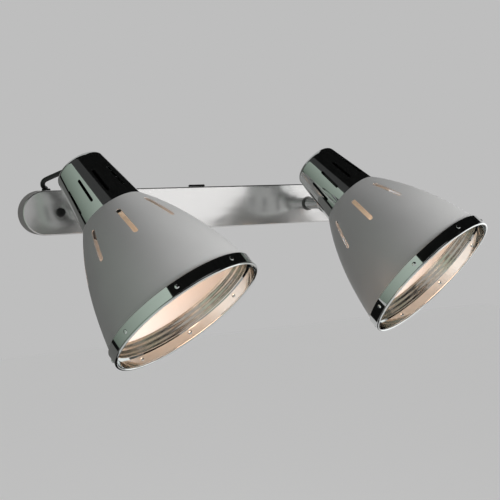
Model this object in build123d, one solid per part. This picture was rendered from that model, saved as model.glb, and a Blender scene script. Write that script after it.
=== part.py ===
from build123d import *
import math
import os

# A wall light with two spotlights on a slim bar. Millimetres, +Z up. The wall is the plane y = 0, the light
# stands out along -Y, and the origin is the middle of the bar's back. Each lamp is drawn hanging straight
# down, in its own frame with the knuckle's centre as origin, and is then tilted, turned sideways and moved to
# its place on the bar.

# ---- bar cover
BAR_LENGTH = 364.0
BAR_HEIGHT = 42.0
BAR_DEPTH = 22.0
COVER_WALL = 1.2
COVER_EDGE_RADIUS = 3.0
COVER_SCREW_INSET = 35.0

# ---- wall bracket and what stands on it
BRACKET_THICKNESS = 2.0
BRACKET_GAP = 0.4
WALL_SLOT_SPACING = 200.0
WALL_SLOT_LENGTH = 12.0
WALL_SLOT_WIDTH = 5.0
CABLE_HOLE_RADIUS = 9.0
POST_RADIUS = 4.0
POST_SPIGOT_RADIUS = 2.5
SCREW_RADIUS = 2.0
SCREW_HOLE_CLEARANCE = 0.4
SCREW_DEPTH = 12.0
SCREW_HEAD_RADIUS = 4.4
SCREW_HEAD_HEIGHT = 2.4
SCREW_HEAD_ROUND = 1.4
SCREW_DRIVE_RADIUS = 1.5
SCREW_DRIVE_DEPTH = 1.4

# ---- wiring in the bar
BLOCK_CENTRE_X = 34.0
BLOCK_LENGTH = 20.0
BLOCK_HEIGHT = 26.0
BLOCK_DEPTH = 13.0
BLOCK_WAYS = 3
BLOCK_PITCH = 8.0
BLOCK_BORE_RADIUS = 1.6
BLOCK_SCREW_RADIUS = 1.5
BLOCK_SCREW_OFFSET = 5.0
BLOCK_SCREW_RECESS = 0.6
BLOCK_CHAMFER = 0.8
CORE_RADIUS = 0.9
CORE_GRIP = 4.0
CORE_BEND = 1.5
CORE_SPREAD = 1.1
CORE_RISE = 0.65
CORE_STRAIGHT = 2.0
TAIL_Y = -9.0
TAIL_DROP = 7.3
SHEATH_STRIP = 18.0
TAIL_SHIFT = 12.0
TAIL_BEND = 4.4
TAIL_SHIFT_BEND = 13.2
CLAMP_OFFSET = 36.0
CLAMP_LENGTH = 8.0
CLAMP_WALL = 2.0
EARTH_X = -45.0
EARTH_Z = -8.0
EARTH_WASHER_SIDE = 9.0
EARTH_WASHER_THICKNESS = 1.0
EARTH_HEAD_RADIUS = 3.6
EARTH_HEAD_HEIGHT = 2.6
EARTH_HEAD_ROUND = 1.0

# ---- blank of the cable entry on the bar's top side
BLANK_LENGTH = 17.8
BLANK_WIDTH = 6.0
BLANK_LIP = 1.5
BLANK_HEIGHT = 2.2
BLANK_FLOOR = 1.4
BLANK_CENTRE_Y = -7.0

# ---- lead and its two bushes
LEAD_RADIUS = 2.2
LEAD_CLEARANCE = 0.05
LEAD_HOLE_CLEARANCE = 0.4
BUSH_FLANGE_RADIUS = 4.0
BUSH_WAIST_RADIUS = 3.3
BUSH_OUTER_HEIGHT = 1.8
BUSH_INNER_HEIGHT = 1.2
GROMMET_Y = -11.0
NECK_BUSH_OFFSET = 11.5

# ---- swivel stem and knuckle
PIVOT_INSET = 57.0
KNUCKLE_REACH = 34.5
STEM_RADIUS = 6.0
NIPPLE_RADIUS = 5.0
RUNNING_CLEARANCE = 0.08
FIT_CLEARANCE = 0.05
STEM_WASHER_RADIUS = 7.5
STEM_WASHER_THICKNESS = 0.8
BACKPLATE_SIDE = 30.0
BACKPLATE_THICKNESS = 2.0
SPRING_WASHER_RADIUS = 8.0
SPRING_WASHER_THICKNESS = 0.8
SPRING_WASHER_DISH = 0.5
NUT_ACROSS_FLATS = 14.0
STEM_NUT_HEIGHT = 4.0
NIPPLE_OVERHANG = 1.5
KNUCKLE_RADIUS = 7.0
KNUCKLE_HALF_WIDTH = 6.0
KNUCKLE_WASHER_THICKNESS = 0.6
KNUCKLE_ROD_START = 8.0
KNUCKLE_SCREW_RADIUS = 2.0
KNUCKLE_SCREW_HEAD_RADIUS = 3.6
KNUCKLE_SCREW_HEAD_HEIGHT = 2.2
KNUCKLE_SCREW_ROUND = 0.8
KNUCKLE_SCREW_SLOT = 0.9
KNUCKLE_SCREW_SLOT_DEPTH = 0.9
KNUCKLE_WASHER_INSET = 0.4
NECK_REACH = 42.0
NECK_RISE = 25.4
NECK_NUT_HEIGHT = 3.0
NECK_NUT_OVERHANG = 1.5

# ---- neck cup
NECK_TOP_RADIUS = 22.8
NECK_MOUTH_RADIUS = 30.2
NECK_LENGTH = 56.6
NECK_WALL = 1.0
NECK_CORNER_RADIUS = 5.0
NECK_SLOTS = 11
NECK_SLOT_START = 21.8
NECK_SLOT_END = 46.6
NECK_SLOT_WIDTH = 2.6
NECK_SLOT_PHASE = -90.0

# ---- shade: its radius along the axis is a cubic curve through these four control radii
SHADE_END = 157.8
SHADE_WALL = 1.0
SHADE_COLLAR_RADIUS = 31.0
SHADE_SHOULDER_RADIUS = 53.0
SHADE_FLANK_RADIUS = 62.1
SHADE_RIM_RADIUS = 68.7
SHADE_HOLE_RADIUS = 20.4
SHADE_SLITS = 9
SHADE_SLIT_START = 70.2
SHADE_SLIT_END = 101.4
SHADE_SLIT_WIDTH = 4.2
SHADE_SLIT_PHASE = -100.0
RIGHT_SHADE_ANGLE = -21.0

# ---- mouth ring
RING_BAND_RADIUS = 70.4
RING_BAND_WALL = 1.4
RING_DEPTH = 11.8
RING_BEAD_RADIUS = 1.2
RING_WEB_THICKNESS = 1.0
RING_SLEEVE_LENGTH = 12.0
RING_SLEEVE_WALL = 0.9
RING_RIVETS = 8
RING_RIVET_PHASE = -57.0
RING_RIVET_DEPTH = 4.8
RIVET_SHANK_RADIUS = 1.2
RIVET_HEAD_RADIUS = 1.9
RIVET_HEAD_HEIGHT = 0.7

# ---- lampholder and lamp
HOLDER_LENGTH = 51.0
HOLDER_NOSE = 3.4
HOLDER_DOME_LENGTH = 22.0
HOLDER_RADIUS = 19.5
HOLDER_WALL = 2.0
HOLDER_CORNER_RADIUS = 3.0
HOLDER_STEM_RADIUS = 5.0
HOLDER_STEM_RISE = 3.2
HOLDER_FLOOR = 3.0
HOLDER_BORE_RADIUS = 14.5
HOLDER_FLANGE_RADIUS = 23.0
HOLDER_FLANGE_HEIGHT = 2.0
SHADE_RING_RADIUS = 26.0
SHADE_RING_HEIGHT = 4.4
SHADE_RING_RIM = 1.2
SHADE_RING_NOTCHES = 24
SHADE_RING_NOTCH_RADIUS = 0.9
CAP_NUT_RADIUS = 6.6
CAP_NUT_HEIGHT = 3.6
CAP_NUT_ROUND = 2.1
LAMP_CAP_RADIUS = 13.2
LAMP_CAP_LENGTH = 24.6
LAMP_CAP_TIP_RADIUS = 4.5
LAMP_CAP_TAPER = 2.5
SHELL_WALL = 0.6
SHELL_CLEARANCE = 0.2
SHELL_INSET = 2.0
CONTACT_RADIUS = 3.0
CONTACT_LENGTH = 6.4
GLASS_RADIUS = 30.0
GLASS_WALL = 1.0
GLASS_NECK_RADIUS = 12.8
GLASS_SINK = 8.0
GLASS_FLARE_START = 18.0
GLASS_FLARE_END = 22.0
LAMP_LENGTH = 104.1

# ---- how the lamps stand at rest, in degrees from hanging straight down
LEFT_TILT, LEFT_PAN = 34.0, 25.0
RIGHT_TILT, RIGHT_PAN = 41.0, 28.0

# ---- free stretch of each lead, from the neck's bush to the bar's grommet. The middle points are chosen by
# hand, with x measured from the stem's axis.
LEFT_LEAD_POINTS = (
    (-16.6, -53.6, 43.0),
    (-17.4, -42.8, 41.0),
    (-22.6, -33.4, 37.2),
    (-29.6, -25.8, 33.2),
    (-36.0, -19.2, 30.4),
)
RIGHT_LEAD_POINTS = (
    (-18.4, -46.6, 44.6),
    (-7.6, -38.2, 46.2),
    (5.0, -31.6, 45.2),
    (17.6, -25.0, 41.6),
    (27.8, -17.6, 36.0),
)
LEAD_EXIT_RUN = 7.0
LEAD_BEND_SHARE = 0.45

# ---- how far a cutting shape runs past what it cuts
PAST = 1.0

# ---- places worked out from the sizes above
FRONT_FACE = -BAR_DEPTH
FRONT_INNER = FRONT_FACE + COVER_WALL
TOP_FACE = BAR_HEIGHT / 2
TOP_INNER = TOP_FACE - COVER_WALL
SCREW_X = BAR_LENGTH / 2 - COVER_SCREW_INSET
PIVOT_X = BAR_LENGTH / 2 - PIVOT_INSET
GROMMET_X = (BAR_LENGTH - BAR_HEIGHT) / 2 - BUSH_FLANGE_RADIUS
TAIL_Z = TOP_INNER - TAIL_DROP
KNUCKLE_Y = FRONT_FACE - KNUCKLE_REACH
RING_FRONT = SHADE_END + RING_DEPTH
LAP = KNUCKLE_WASHER_THICKNESS / 2
SPRING_WASHER_HEIGHT = SPRING_WASHER_DISH + SPRING_WASHER_THICKNESS
NECK_SLOPE = (NECK_MOUTH_RADIUS - NECK_TOP_RADIUS) / NECK_LENGTH
BRACKET_FRONT = -BRACKET_THICKNESS
BLOCK_FRONT = BRACKET_FRONT - BLOCK_DEPTH
SHADE_RADII = (SHADE_COLLAR_RADIUS, SHADE_SHOULDER_RADIUS, SHADE_FLANK_RADIUS, SHADE_RIM_RADIUS)
HOLDER_END = NECK_LENGTH + HOLDER_NOSE
HOLDER_TOP = HOLDER_END - HOLDER_LENGTH
HOLDER_SPLIT = HOLDER_TOP + HOLDER_DOME_LENGTH
LAMP_CAP_TIP = HOLDER_SPLIT + CONTACT_LENGTH
LAMP_CAP_END = LAMP_CAP_TIP + LAMP_CAP_LENGTH
GLASS_SEAT = LAMP_CAP_END - GLASS_SINK
GLASS_TIP = LAMP_CAP_TIP + LAMP_LENGTH

os.makedirs("parts", exist_ok=True)


def rod(start, end, radius):
    """A round bar from one point to another."""
    start, end = Vector(*start), Vector(*end)
    run = end - start
    return Solid.make_cylinder(radius, run.length, Plane(origin=start, z_dir=run))


def across_y(outline, near, far):
    """A sketch in x and z, pushed from y = near to y = far, both measured from the wall."""
    return extrude(Plane.XZ.offset(-near) * outline, amount=near - far)


def turned(profile):
    """A piece turned about the lamp's axis, from a profile in radius and distance from the neck's top."""
    return revolve(make_face(profile), Axis.Z)


def outline(*points):
    """A closed profile of straight lines, given as (radius, distance from the neck's top)."""
    return Polyline(*[(r, 0, -s) for r, s in points], close=True)


def ring(inner, outer, start, end):
    """A plain tube about the lamp's axis, between two distances from the neck's top."""
    return turned(outline((inner, start), (outer, start), (outer, end), (inner, end)))


def about_axis(angle, distance, shape):
    """A sketch laid square to the lamp's radius, at an angle and a distance from the neck's top."""
    turn = math.radians(angle)
    plane = Plane(origin=(0, 0, -distance), x_dir=(0, 0, 1), z_dir=(math.cos(turn), math.sin(turn), 0))
    return plane * shape


def hexagon(across_flats):
    """A nut's outline."""
    return RegularPolygon(across_flats / 2, 6, major_radius=False)


def bush(wall):
    """A flanged bush with its outer flange on z = 0 and its groove round a wall of the given thickness."""
    flange = Pos(0, 0, BUSH_OUTER_HEIGHT / 2) * Cylinder(BUSH_FLANGE_RADIUS, BUSH_OUTER_HEIGHT)
    flange = fillet(flange.edges().group_by(Axis.Z)[-1], BUSH_OUTER_HEIGHT / 2)
    waist = Pos(0, 0, -wall / 2) * Cylinder(BUSH_WAIST_RADIUS, wall)
    foot = Pos(0, 0, -wall - BUSH_INNER_HEIGHT / 2) * Cylinder(BUSH_FLANGE_RADIUS, BUSH_INNER_HEIGHT)
    bore = Cylinder(LEAD_RADIUS + LEAD_CLEARANCE, 2 * (BUSH_OUTER_HEIGHT + wall + BUSH_INNER_HEIGHT))
    return flange + waist + foot - bore


# ---- bar


def front_hole(x, radius):
    """A cutting rod through the cover's front."""
    return rod((x, FRONT_FACE - PAST, 0), (x, FRONT_INNER + PAST, 0), radius)


def top_hole(x, radius):
    """A cutting rod through the cover's top side, on the grommets' line."""
    return rod((x, GROMMET_Y, TOP_INNER - PAST), (x, GROMMET_Y, TOP_FACE + PAST), radius)


def make_cover():
    """The pressed cover: a shallow stadium-shaped pan, open at the wall."""
    outer = across_y(SlotOverall(BAR_LENGTH, BAR_HEIGHT), 0, FRONT_FACE)
    outer = fillet(outer.edges().group_by(Axis.Y)[0], COVER_EDGE_RADIUS)
    inner_length = BAR_LENGTH - 2 * COVER_WALL
    inner_height = BAR_HEIGHT - 2 * COVER_WALL
    inner = across_y(SlotOverall(inner_length, inner_height), 0, FRONT_INNER)
    inner = fillet(inner.edges().group_by(Axis.Y)[0], COVER_EDGE_RADIUS - COVER_WALL)
    cover = outer - inner
    for side in (-1, 1):
        cover -= front_hole(side * SCREW_X, SCREW_RADIUS + SCREW_HOLE_CLEARANCE)
        cover -= front_hole(side * PIVOT_X, NIPPLE_RADIUS + RUNNING_CLEARANCE)
        cover -= top_hole(side * GROMMET_X, BUSH_WAIST_RADIUS)
    blank_slot = SlotOverall(BLANK_LENGTH - 2 * BLANK_LIP, BLANK_WIDTH - 2 * BLANK_LIP)
    blank_slot = Pos(0, BLANK_CENTRE_Y, TOP_INNER - PAST) * blank_slot
    return cover - extrude(blank_slot, amount=COVER_WALL + 2 * PAST)


def make_bracket():
    """The plate on the wall, with slots for the wall screws and the cable's hole."""
    reach = 2 * (COVER_WALL + BRACKET_GAP)
    plate = SlotOverall(BAR_LENGTH - reach, BAR_HEIGHT - reach) - Circle(CABLE_HOLE_RADIUS)
    for side in (-1, 1):
        plate -= Pos(side * WALL_SLOT_SPACING / 2, 0) * SlotOverall(WALL_SLOT_LENGTH, WALL_SLOT_WIDTH)
        plate -= Pos(side * SCREW_X, 0) * Circle(POST_SPIGOT_RADIUS + FIT_CLEARANCE)
    return across_y(plate, 0, BRACKET_FRONT)


def make_posts():
    """Two threaded posts that carry the cover's screws."""
    posts = []
    for side in (-1, 1):
        x = side * SCREW_X
        post = rod((x, BRACKET_FRONT, 0), (x, FRONT_INNER, 0), POST_RADIUS)
        post += rod((x, 0, 0), (x, BRACKET_FRONT, 0), POST_SPIGOT_RADIUS)
        thread_end = FRONT_FACE + SCREW_DEPTH + PAST
        post -= rod((x, FRONT_INNER, 0), (x, thread_end, 0), SCREW_RADIUS + FIT_CLEARANCE)
        posts.append(post)
    return posts


def make_cover_screws():
    """Two screws with low domed heads and a hexagon drive."""
    screws = []
    for side in (-1, 1):
        x = side * SCREW_X
        crown = FRONT_FACE - SCREW_HEAD_HEIGHT
        head = rod((x, FRONT_FACE, 0), (x, crown, 0), SCREW_HEAD_RADIUS)
        head = fillet(head.edges().group_by(Axis.Y)[0], SCREW_HEAD_ROUND)
        drive = Pos(x, 0) * hexagon(2 * SCREW_DRIVE_RADIUS)
        head -= across_y(drive, crown + SCREW_DRIVE_DEPTH, crown - PAST)
        screws.append(head + rod((x, FRONT_FACE, 0), (x, FRONT_FACE + SCREW_DEPTH, 0), SCREW_RADIUS))
    return screws


def make_backplates():
    """Two stiffening plates behind the cover's front, each with the bearing hole of a stem."""
    plates = []
    for side in (-1, 1):
        plate = Rectangle(BACKPLATE_SIDE, BACKPLATE_SIDE) - Circle(NIPPLE_RADIUS + RUNNING_CLEARANCE)
        plate = Pos(side * PIVOT_X, 0) * plate
        plates.append(across_y(plate, FRONT_INNER + BACKPLATE_THICKNESS, FRONT_INNER))
    return plates


def block_rows():
    """Heights of the terminal block's ways."""
    return [(row - (BLOCK_WAYS - 1) / 2) * BLOCK_PITCH for row in range(BLOCK_WAYS)]


def make_block():
    """The terminal block, with its bores along X and its screw holes from the front."""
    section = Pos(BLOCK_CENTRE_X, 0) * Rectangle(BLOCK_LENGTH, BLOCK_HEIGHT)
    body = across_y(section, BRACKET_FRONT, BLOCK_FRONT)
    body = chamfer(body.edges().group_by(Axis.Y)[0], BLOCK_CHAMFER)
    half = BLOCK_LENGTH / 2 + PAST
    start, end = BLOCK_CENTRE_X - half, BLOCK_CENTRE_X + half
    for z in block_rows():
        body -= rod((start, TAIL_Y, z), (end, TAIL_Y, z), BLOCK_BORE_RADIUS)
        for side in (-1, 1):
            x = BLOCK_CENTRE_X + side * BLOCK_SCREW_OFFSET
            hole = BLOCK_SCREW_RADIUS + FIT_CLEARANCE
            body -= rod((x, TAIL_Y, z), (x, BLOCK_FRONT - PAST, z), hole)
    return body


def make_block_screws():
    """The terminal block's clamping screws, each down on its core."""
    screws = []
    for z in block_rows():
        for side in (-1, 1):
            x = BLOCK_CENTRE_X + side * BLOCK_SCREW_OFFSET
            tip = TAIL_Y - CORE_RADIUS - FIT_CLEARANCE
            screws.append(rod((x, tip, z), (x, BLOCK_FRONT + BLOCK_SCREW_RECESS, z), BLOCK_SCREW_RADIUS))
    return screws


def make_earth_terminal():
    """The earth screw and its square clamping washer on the bracket."""
    washer_front = BRACKET_FRONT - EARTH_WASHER_THICKNESS
    square = Pos(EARTH_X, EARTH_Z) * Rectangle(EARTH_WASHER_SIDE, EARTH_WASHER_SIDE)
    washer = across_y(square, BRACKET_FRONT, washer_front)
    head_front = washer_front - EARTH_HEAD_HEIGHT
    head = rod((EARTH_X, washer_front, EARTH_Z), (EARTH_X, head_front, EARTH_Z), EARTH_HEAD_RADIUS)
    head = fillet(head.edges().group_by(Axis.Y)[0], EARTH_HEAD_ROUND)
    return [washer, head]


def make_clamps():
    """Two clamps on the bracket that grip the leads beside the terminal block."""
    clamps = []
    for side in (-1, 1):
        x = BLOCK_CENTRE_X + side * CLAMP_OFFSET
        outer = LEAD_RADIUS + CLAMP_WALL
        centre = Pos(x, TAIL_Z) * Rectangle(CLAMP_LENGTH, 2 * outer)
        clamp = across_y(centre, BRACKET_FRONT, TAIL_Y - outer)
        half = CLAMP_LENGTH / 2 + PAST
        clamp -= rod((x - half, TAIL_Y, TAIL_Z), (x + half, TAIL_Y, TAIL_Z), LEAD_RADIUS + LEAD_CLEARANCE)
        clamps.append(clamp)
    return clamps


def make_entry_blank():
    """The oblong rubber blank in the top side's cable entry."""
    lip = SlotOverall(BLANK_LENGTH, BLANK_WIDTH)
    waist = SlotOverall(BLANK_LENGTH - 2 * BLANK_LIP, BLANK_WIDTH - 2 * BLANK_LIP)
    top = extrude(Pos(0, BLANK_CENTRE_Y, TOP_FACE) * lip, amount=BLANK_HEIGHT)
    top = fillet(top.edges().group_by(Axis.Z)[-1], BLANK_HEIGHT / 2)
    neck = extrude(Pos(0, BLANK_CENTRE_Y, TOP_INNER) * waist, amount=COVER_WALL)
    foot = extrude(Pos(0, BLANK_CENTRE_Y, TOP_INNER - BLANK_FLOOR) * lip, amount=BLANK_FLOOR)
    return top + neck + foot


def tube_along(points, radii, radius):
    """A round tube along straight runs joined by tangent arcs."""
    path = FilletPolyline(*points, radius=radii)
    start = path @ 0
    section = Plane(origin=start, z_dir=path % 0) * Circle(radius)
    return sweep(section, path=path)


def bend_radii(points, share=LEAD_BEND_SHARE):
    """For each corner of a route, an arc as large as its two runs allow."""
    points = [Vector(*p) for p in points]
    radii = []
    for before, corner, after in zip(points, points[1:], points[2:]):
        run_in, run_out = corner - before, after - corner
        half_turn = math.radians(run_in.get_angle(run_out)) / 2
        radii.append(share * min(run_in.length, run_out.length) / math.tan(half_turn))
    return radii


def make_bar_tail(side):
    """The lead's end in the bar: from the grommet down and along to its clamp, then three bare cores."""
    x_in = side * GROMMET_X
    sheath_end = BLOCK_CENTRE_X + side * (BLOCK_LENGTH / 2 + SHEATH_STRIP)
    start = TOP_FACE + BUSH_OUTER_HEIGHT
    x_shifted = x_in - side * TAIL_SHIFT
    route = [
        (x_in, GROMMET_Y, start),
        (x_in, GROMMET_Y, TAIL_Z),
        (x_shifted, TAIL_Y, TAIL_Z),
        (sheath_end, TAIL_Y, TAIL_Z),
    ]
    solids = [tube_along(route, [TAIL_BEND, TAIL_SHIFT_BEND], LEAD_RADIUS)]
    grip = BLOCK_CENTRE_X + side * (BLOCK_LENGTH / 2 - CORE_GRIP)
    entry = BLOCK_CENTRE_X + side * (BLOCK_LENGTH / 2 + CORE_STRAIGHT)
    leave = sheath_end - side * CORE_STRAIGHT
    for row, z in enumerate(block_rows()):
        across = row - (BLOCK_WAYS - 1) / 2
        z_start = TAIL_Z + across * CORE_SPREAD
        y_start = TAIL_Y - CORE_RISE if across else TAIL_Y + CORE_RISE
        core = [
            (sheath_end, y_start, z_start),
            (leave, y_start, z_start),
            (entry, TAIL_Y, z),
            (grip, TAIL_Y, z),
        ]
        solids.append(tube_along(core, [CORE_BEND, CORE_BEND], CORE_RADIUS))
    return solids


# ---- lamp, drawn hanging down about its own axis, with the neck's top at z = 0


def neck_radius(distance):
    """Outer radius of the neck cup at a distance from its top."""
    return NECK_TOP_RADIUS + NECK_SLOPE * distance


def neck_solid(inset, length):
    """The neck cup's outer form, drawn in by a wall, as a filled cone with a rounded top."""
    top, mouth = neck_radius(inset) - inset, neck_radius(length) - inset
    cone = turned(outline((0, inset), (top, inset), (mouth, length), (0, length)))
    return fillet(cone.edges().group_by(Axis.Z)[-1], NECK_CORNER_RADIUS - inset)


def make_neck_cup():
    """The chrome cup, with its slots, the holes in its top and the knuckle's hole in its back."""
    cup = neck_solid(0, NECK_LENGTH) - neck_solid(NECK_WALL, NECK_LENGTH + PAST)
    cup -= Cylinder(HOLDER_STEM_RADIUS + FIT_CLEARANCE, 4 * NECK_WALL)
    cup -= Pos(0, NECK_BUSH_OFFSET) * Cylinder(BUSH_WAIST_RADIUS, 4 * NECK_WALL)
    cup -= rod((0, 0, -NECK_RISE), (0, NECK_MOUTH_RADIUS, -NECK_RISE), NIPPLE_RADIUS + FIT_CLEARANCE)
    slot = SlotOverall(NECK_SLOT_END - NECK_SLOT_START, NECK_SLOT_WIDTH)
    middle = (NECK_SLOT_START + NECK_SLOT_END) / 2
    for count in range(NECK_SLOTS):
        angle = NECK_SLOT_PHASE + count * 360 / NECK_SLOTS
        cup -= extrude(about_axis(angle, middle, slot), amount=2 * NECK_MOUTH_RADIUS)
    return cup


def shade_curve(inset):
    """The shade's flank as a cubic curve. The inset is measured square to the wall."""
    step = (SHADE_END - NECK_LENGTH) / 3
    points = []
    for index, radius in enumerate(SHADE_RADII):
        near, far = max(index - 1, 0), min(index + 1, 3)
        slope = (SHADE_RADII[far] - SHADE_RADII[near]) / ((far - near) * step)
        distance = NECK_LENGTH + index * step
        points.append((radius - inset * math.hypot(1, slope), 0, -distance))
    return points


def shade_radius(distance, inset=0.0):
    """The flank's radius at a distance from the neck's top."""
    share = (distance - NECK_LENGTH) / (SHADE_END - NECK_LENGTH)
    r0, r1, r2, r3 = (point[0] for point in shade_curve(inset))
    rest = 1 - share
    return rest**3 * r0 + 3 * rest**2 * share * r1 + 3 * rest * share**2 * r2 + share**3 * r3


def make_shade(turn):
    """The bell, with a flat collar under the neck and a row of slits round its shoulder."""
    flank = shade_curve(0)
    inner = shade_curve(SHADE_WALL)
    collar = NECK_LENGTH + SHADE_WALL
    inner[0] = (shade_radius(collar, SHADE_WALL), 0, -collar)
    profile = [
        Polyline((SHADE_HOLE_RADIUS, 0, -collar), (SHADE_HOLE_RADIUS, 0, -NECK_LENGTH), flank[0]),
        Bezier(*flank),
        Line(flank[3], inner[3]),
        Bezier(*reversed(inner)),
        Line(inner[0], (SHADE_HOLE_RADIUS, 0, -collar)),
    ]
    shade = turned(profile)
    slit = SlotOverall(SHADE_SLIT_END - SHADE_SLIT_START, SHADE_SLIT_WIDTH)
    middle = (SHADE_SLIT_START + SHADE_SLIT_END) / 2
    for count in range(SHADE_SLITS):
        angle = SHADE_SLIT_PHASE + turn + count * 360 / SHADE_SLITS
        shade -= extrude(about_axis(angle, middle, slit), amount=RING_BAND_RADIUS)
    return shade


def make_mouth_ring(turn):
    """The chrome ring: a band with a rolled bead, a web on the shade's edge, and a sleeve inside it."""
    band_inner = RING_BAND_RADIUS - RING_BAND_WALL
    bead_centre = RING_FRONT - RING_BEAD_RADIUS
    bead_middle = RING_BAND_RADIUS - RING_BAND_WALL / 2
    web_front = SHADE_END + RING_WEB_THICKNESS
    sleeve_top = SHADE_END - RING_SLEEVE_LENGTH
    sleeve_outer = shade_radius(SHADE_END, SHADE_WALL + FIT_CLEARANCE)
    sleeve_top_outer = shade_radius(sleeve_top, SHADE_WALL + FIT_CLEARANCE)
    section = outline(
        (RING_BAND_RADIUS, SHADE_END),
        (RING_BAND_RADIUS, bead_centre),
        (band_inner, bead_centre),
        (band_inner, web_front),
        (sleeve_outer - RING_SLEEVE_WALL, web_front),
        (sleeve_top_outer - RING_SLEEVE_WALL, sleeve_top),
        (sleeve_top_outer, sleeve_top),
        (sleeve_outer, SHADE_END),
    )
    body = turned(section)
    bead = Pos(0, 0, -bead_centre) * Torus(bead_middle, RING_BEAD_RADIUS)
    body += bead
    for angle in rivet_angles(turn):
        hole = about_axis(angle, SHADE_END + RING_RIVET_DEPTH, Circle(RIVET_SHANK_RADIUS + FIT_CLEARANCE))
        body -= extrude(hole, amount=2 * RING_BAND_RADIUS)
    return body


def rivet_angles(turn):
    """Angles of the ring's rivets about the lamp's axis."""
    return [RING_RIVET_PHASE + turn + count * 360 / RING_RIVETS for count in range(RING_RIVETS)]


def make_rivets(turn):
    """The ring's rivets, with a low head inside and outside the band."""
    rivets = []
    inner = RING_BAND_RADIUS - RING_BAND_WALL
    for angle in rivet_angles(turn):
        ray = Vector(math.cos(math.radians(angle)), math.sin(math.radians(angle)), 0)
        centre = Vector(0, 0, -SHADE_END - RING_RIVET_DEPTH)
        head_back = RING_BAND_RADIUS - RIVET_HEAD_RADIUS**2 / (2 * RING_BAND_RADIUS)
        head_top = RING_BAND_RADIUS + RIVET_HEAD_HEIGHT
        tail_top = inner - RIVET_HEAD_HEIGHT
        shank = rod(centre + ray * tail_top, centre + ray * head_top, RIVET_SHANK_RADIUS)
        outside = rod(centre + ray * head_back, centre + ray * head_top, RIVET_HEAD_RADIUS)
        inside = rod(centre + ray * tail_top, centre + ray * inner, RIVET_HEAD_RADIUS)
        band = ring(inner, RING_BAND_RADIUS, SHADE_END, RING_FRONT)
        rivets.append(outside + inside - band + shank)
    return rivets


def make_holder_dome():
    """The lampholder's back: a hollow cup with its threaded stem and the lead's hole."""
    outer = ring(0, HOLDER_RADIUS, HOLDER_TOP, HOLDER_SPLIT)
    outer = fillet(outer.edges().group_by(Axis.Z)[-1], HOLDER_CORNER_RADIUS)
    dome = outer - ring(0, HOLDER_RADIUS - HOLDER_WALL, HOLDER_TOP + HOLDER_WALL, HOLDER_SPLIT)
    dome += rod((0, 0, -HOLDER_TOP), (0, 0, HOLDER_STEM_RISE), HOLDER_STEM_RADIUS)
    hole_bottom = -HOLDER_TOP - 2 * HOLDER_WALL
    hole_radius = LEAD_RADIUS + LEAD_HOLE_CLEARANCE
    return dome - rod((0, NECK_BUSH_OFFSET, hole_bottom), (0, NECK_BUSH_OFFSET, 0), hole_radius)


def make_holder_skirt():
    """The lampholder's front: a threaded tube with a floor and the flange that carries the shade."""
    skirt = ring(HOLDER_BORE_RADIUS, HOLDER_RADIUS, HOLDER_SPLIT, HOLDER_END)
    skirt += ring(CONTACT_RADIUS + FIT_CLEARANCE, HOLDER_RADIUS, HOLDER_SPLIT, HOLDER_SPLIT + HOLDER_FLOOR)
    flange_top = NECK_LENGTH - HOLDER_FLANGE_HEIGHT
    return skirt + ring(HOLDER_BORE_RADIUS, HOLDER_FLANGE_RADIUS, flange_top, NECK_LENGTH)


def make_shade_ring():
    """The ring that screws up under the shade's collar, with a grip of small notches."""
    start = NECK_LENGTH + SHADE_WALL
    body = ring(HOLDER_RADIUS + FIT_CLEARANCE, SHADE_RING_RADIUS, start, start + SHADE_RING_HEIGHT)
    end = start + SHADE_RING_HEIGHT
    for count in range(SHADE_RING_NOTCHES):
        angle = math.tau * count / SHADE_RING_NOTCHES
        x, y = SHADE_RING_RADIUS * math.cos(angle), SHADE_RING_RADIUS * math.sin(angle)
        body -= rod((x, y, -end - PAST), (x, y, -start - SHADE_RING_RIM), SHADE_RING_NOTCH_RADIUS)
    return body


def make_cap_nut():
    """The low round nut on the lampholder's stem, outside the neck's top."""
    nut = rod((0, 0, 0), (0, 0, CAP_NUT_HEIGHT), CAP_NUT_RADIUS)
    nut = fillet(nut.edges().group_by(Axis.Z)[-1], CAP_NUT_ROUND)
    return nut - rod((0, 0, -PAST), (0, 0, HOLDER_STEM_RISE), HOLDER_STEM_RADIUS)


def make_screw_shell():
    """The brass screw shell in the lampholder."""
    inner = LAMP_CAP_RADIUS + SHELL_CLEARANCE
    return ring(inner, inner + SHELL_WALL, HOLDER_SPLIT + HOLDER_FLOOR, HOLDER_END - SHELL_INSET)


def make_centre_contact():
    """The contact that the lamp's tip presses on."""
    return rod((0, 0, -HOLDER_SPLIT), (0, 0, -LAMP_CAP_TIP), CONTACT_RADIUS)


def make_lamp_cap():
    """The lamp's screw cap, a cup with a taper and a contact tip."""
    shoulder = LAMP_CAP_TIP + LAMP_CAP_TAPER
    seat = GLASS_NECK_RADIUS + FIT_CLEARANCE
    profile = outline(
        (0, LAMP_CAP_TIP),
        (LAMP_CAP_TIP_RADIUS, LAMP_CAP_TIP),
        (LAMP_CAP_RADIUS, shoulder),
        (LAMP_CAP_RADIUS, LAMP_CAP_END),
        (seat, LAMP_CAP_END),
        (seat, GLASS_SEAT),
        (0, GLASS_SEAT),
    )
    return turned(profile)


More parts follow.
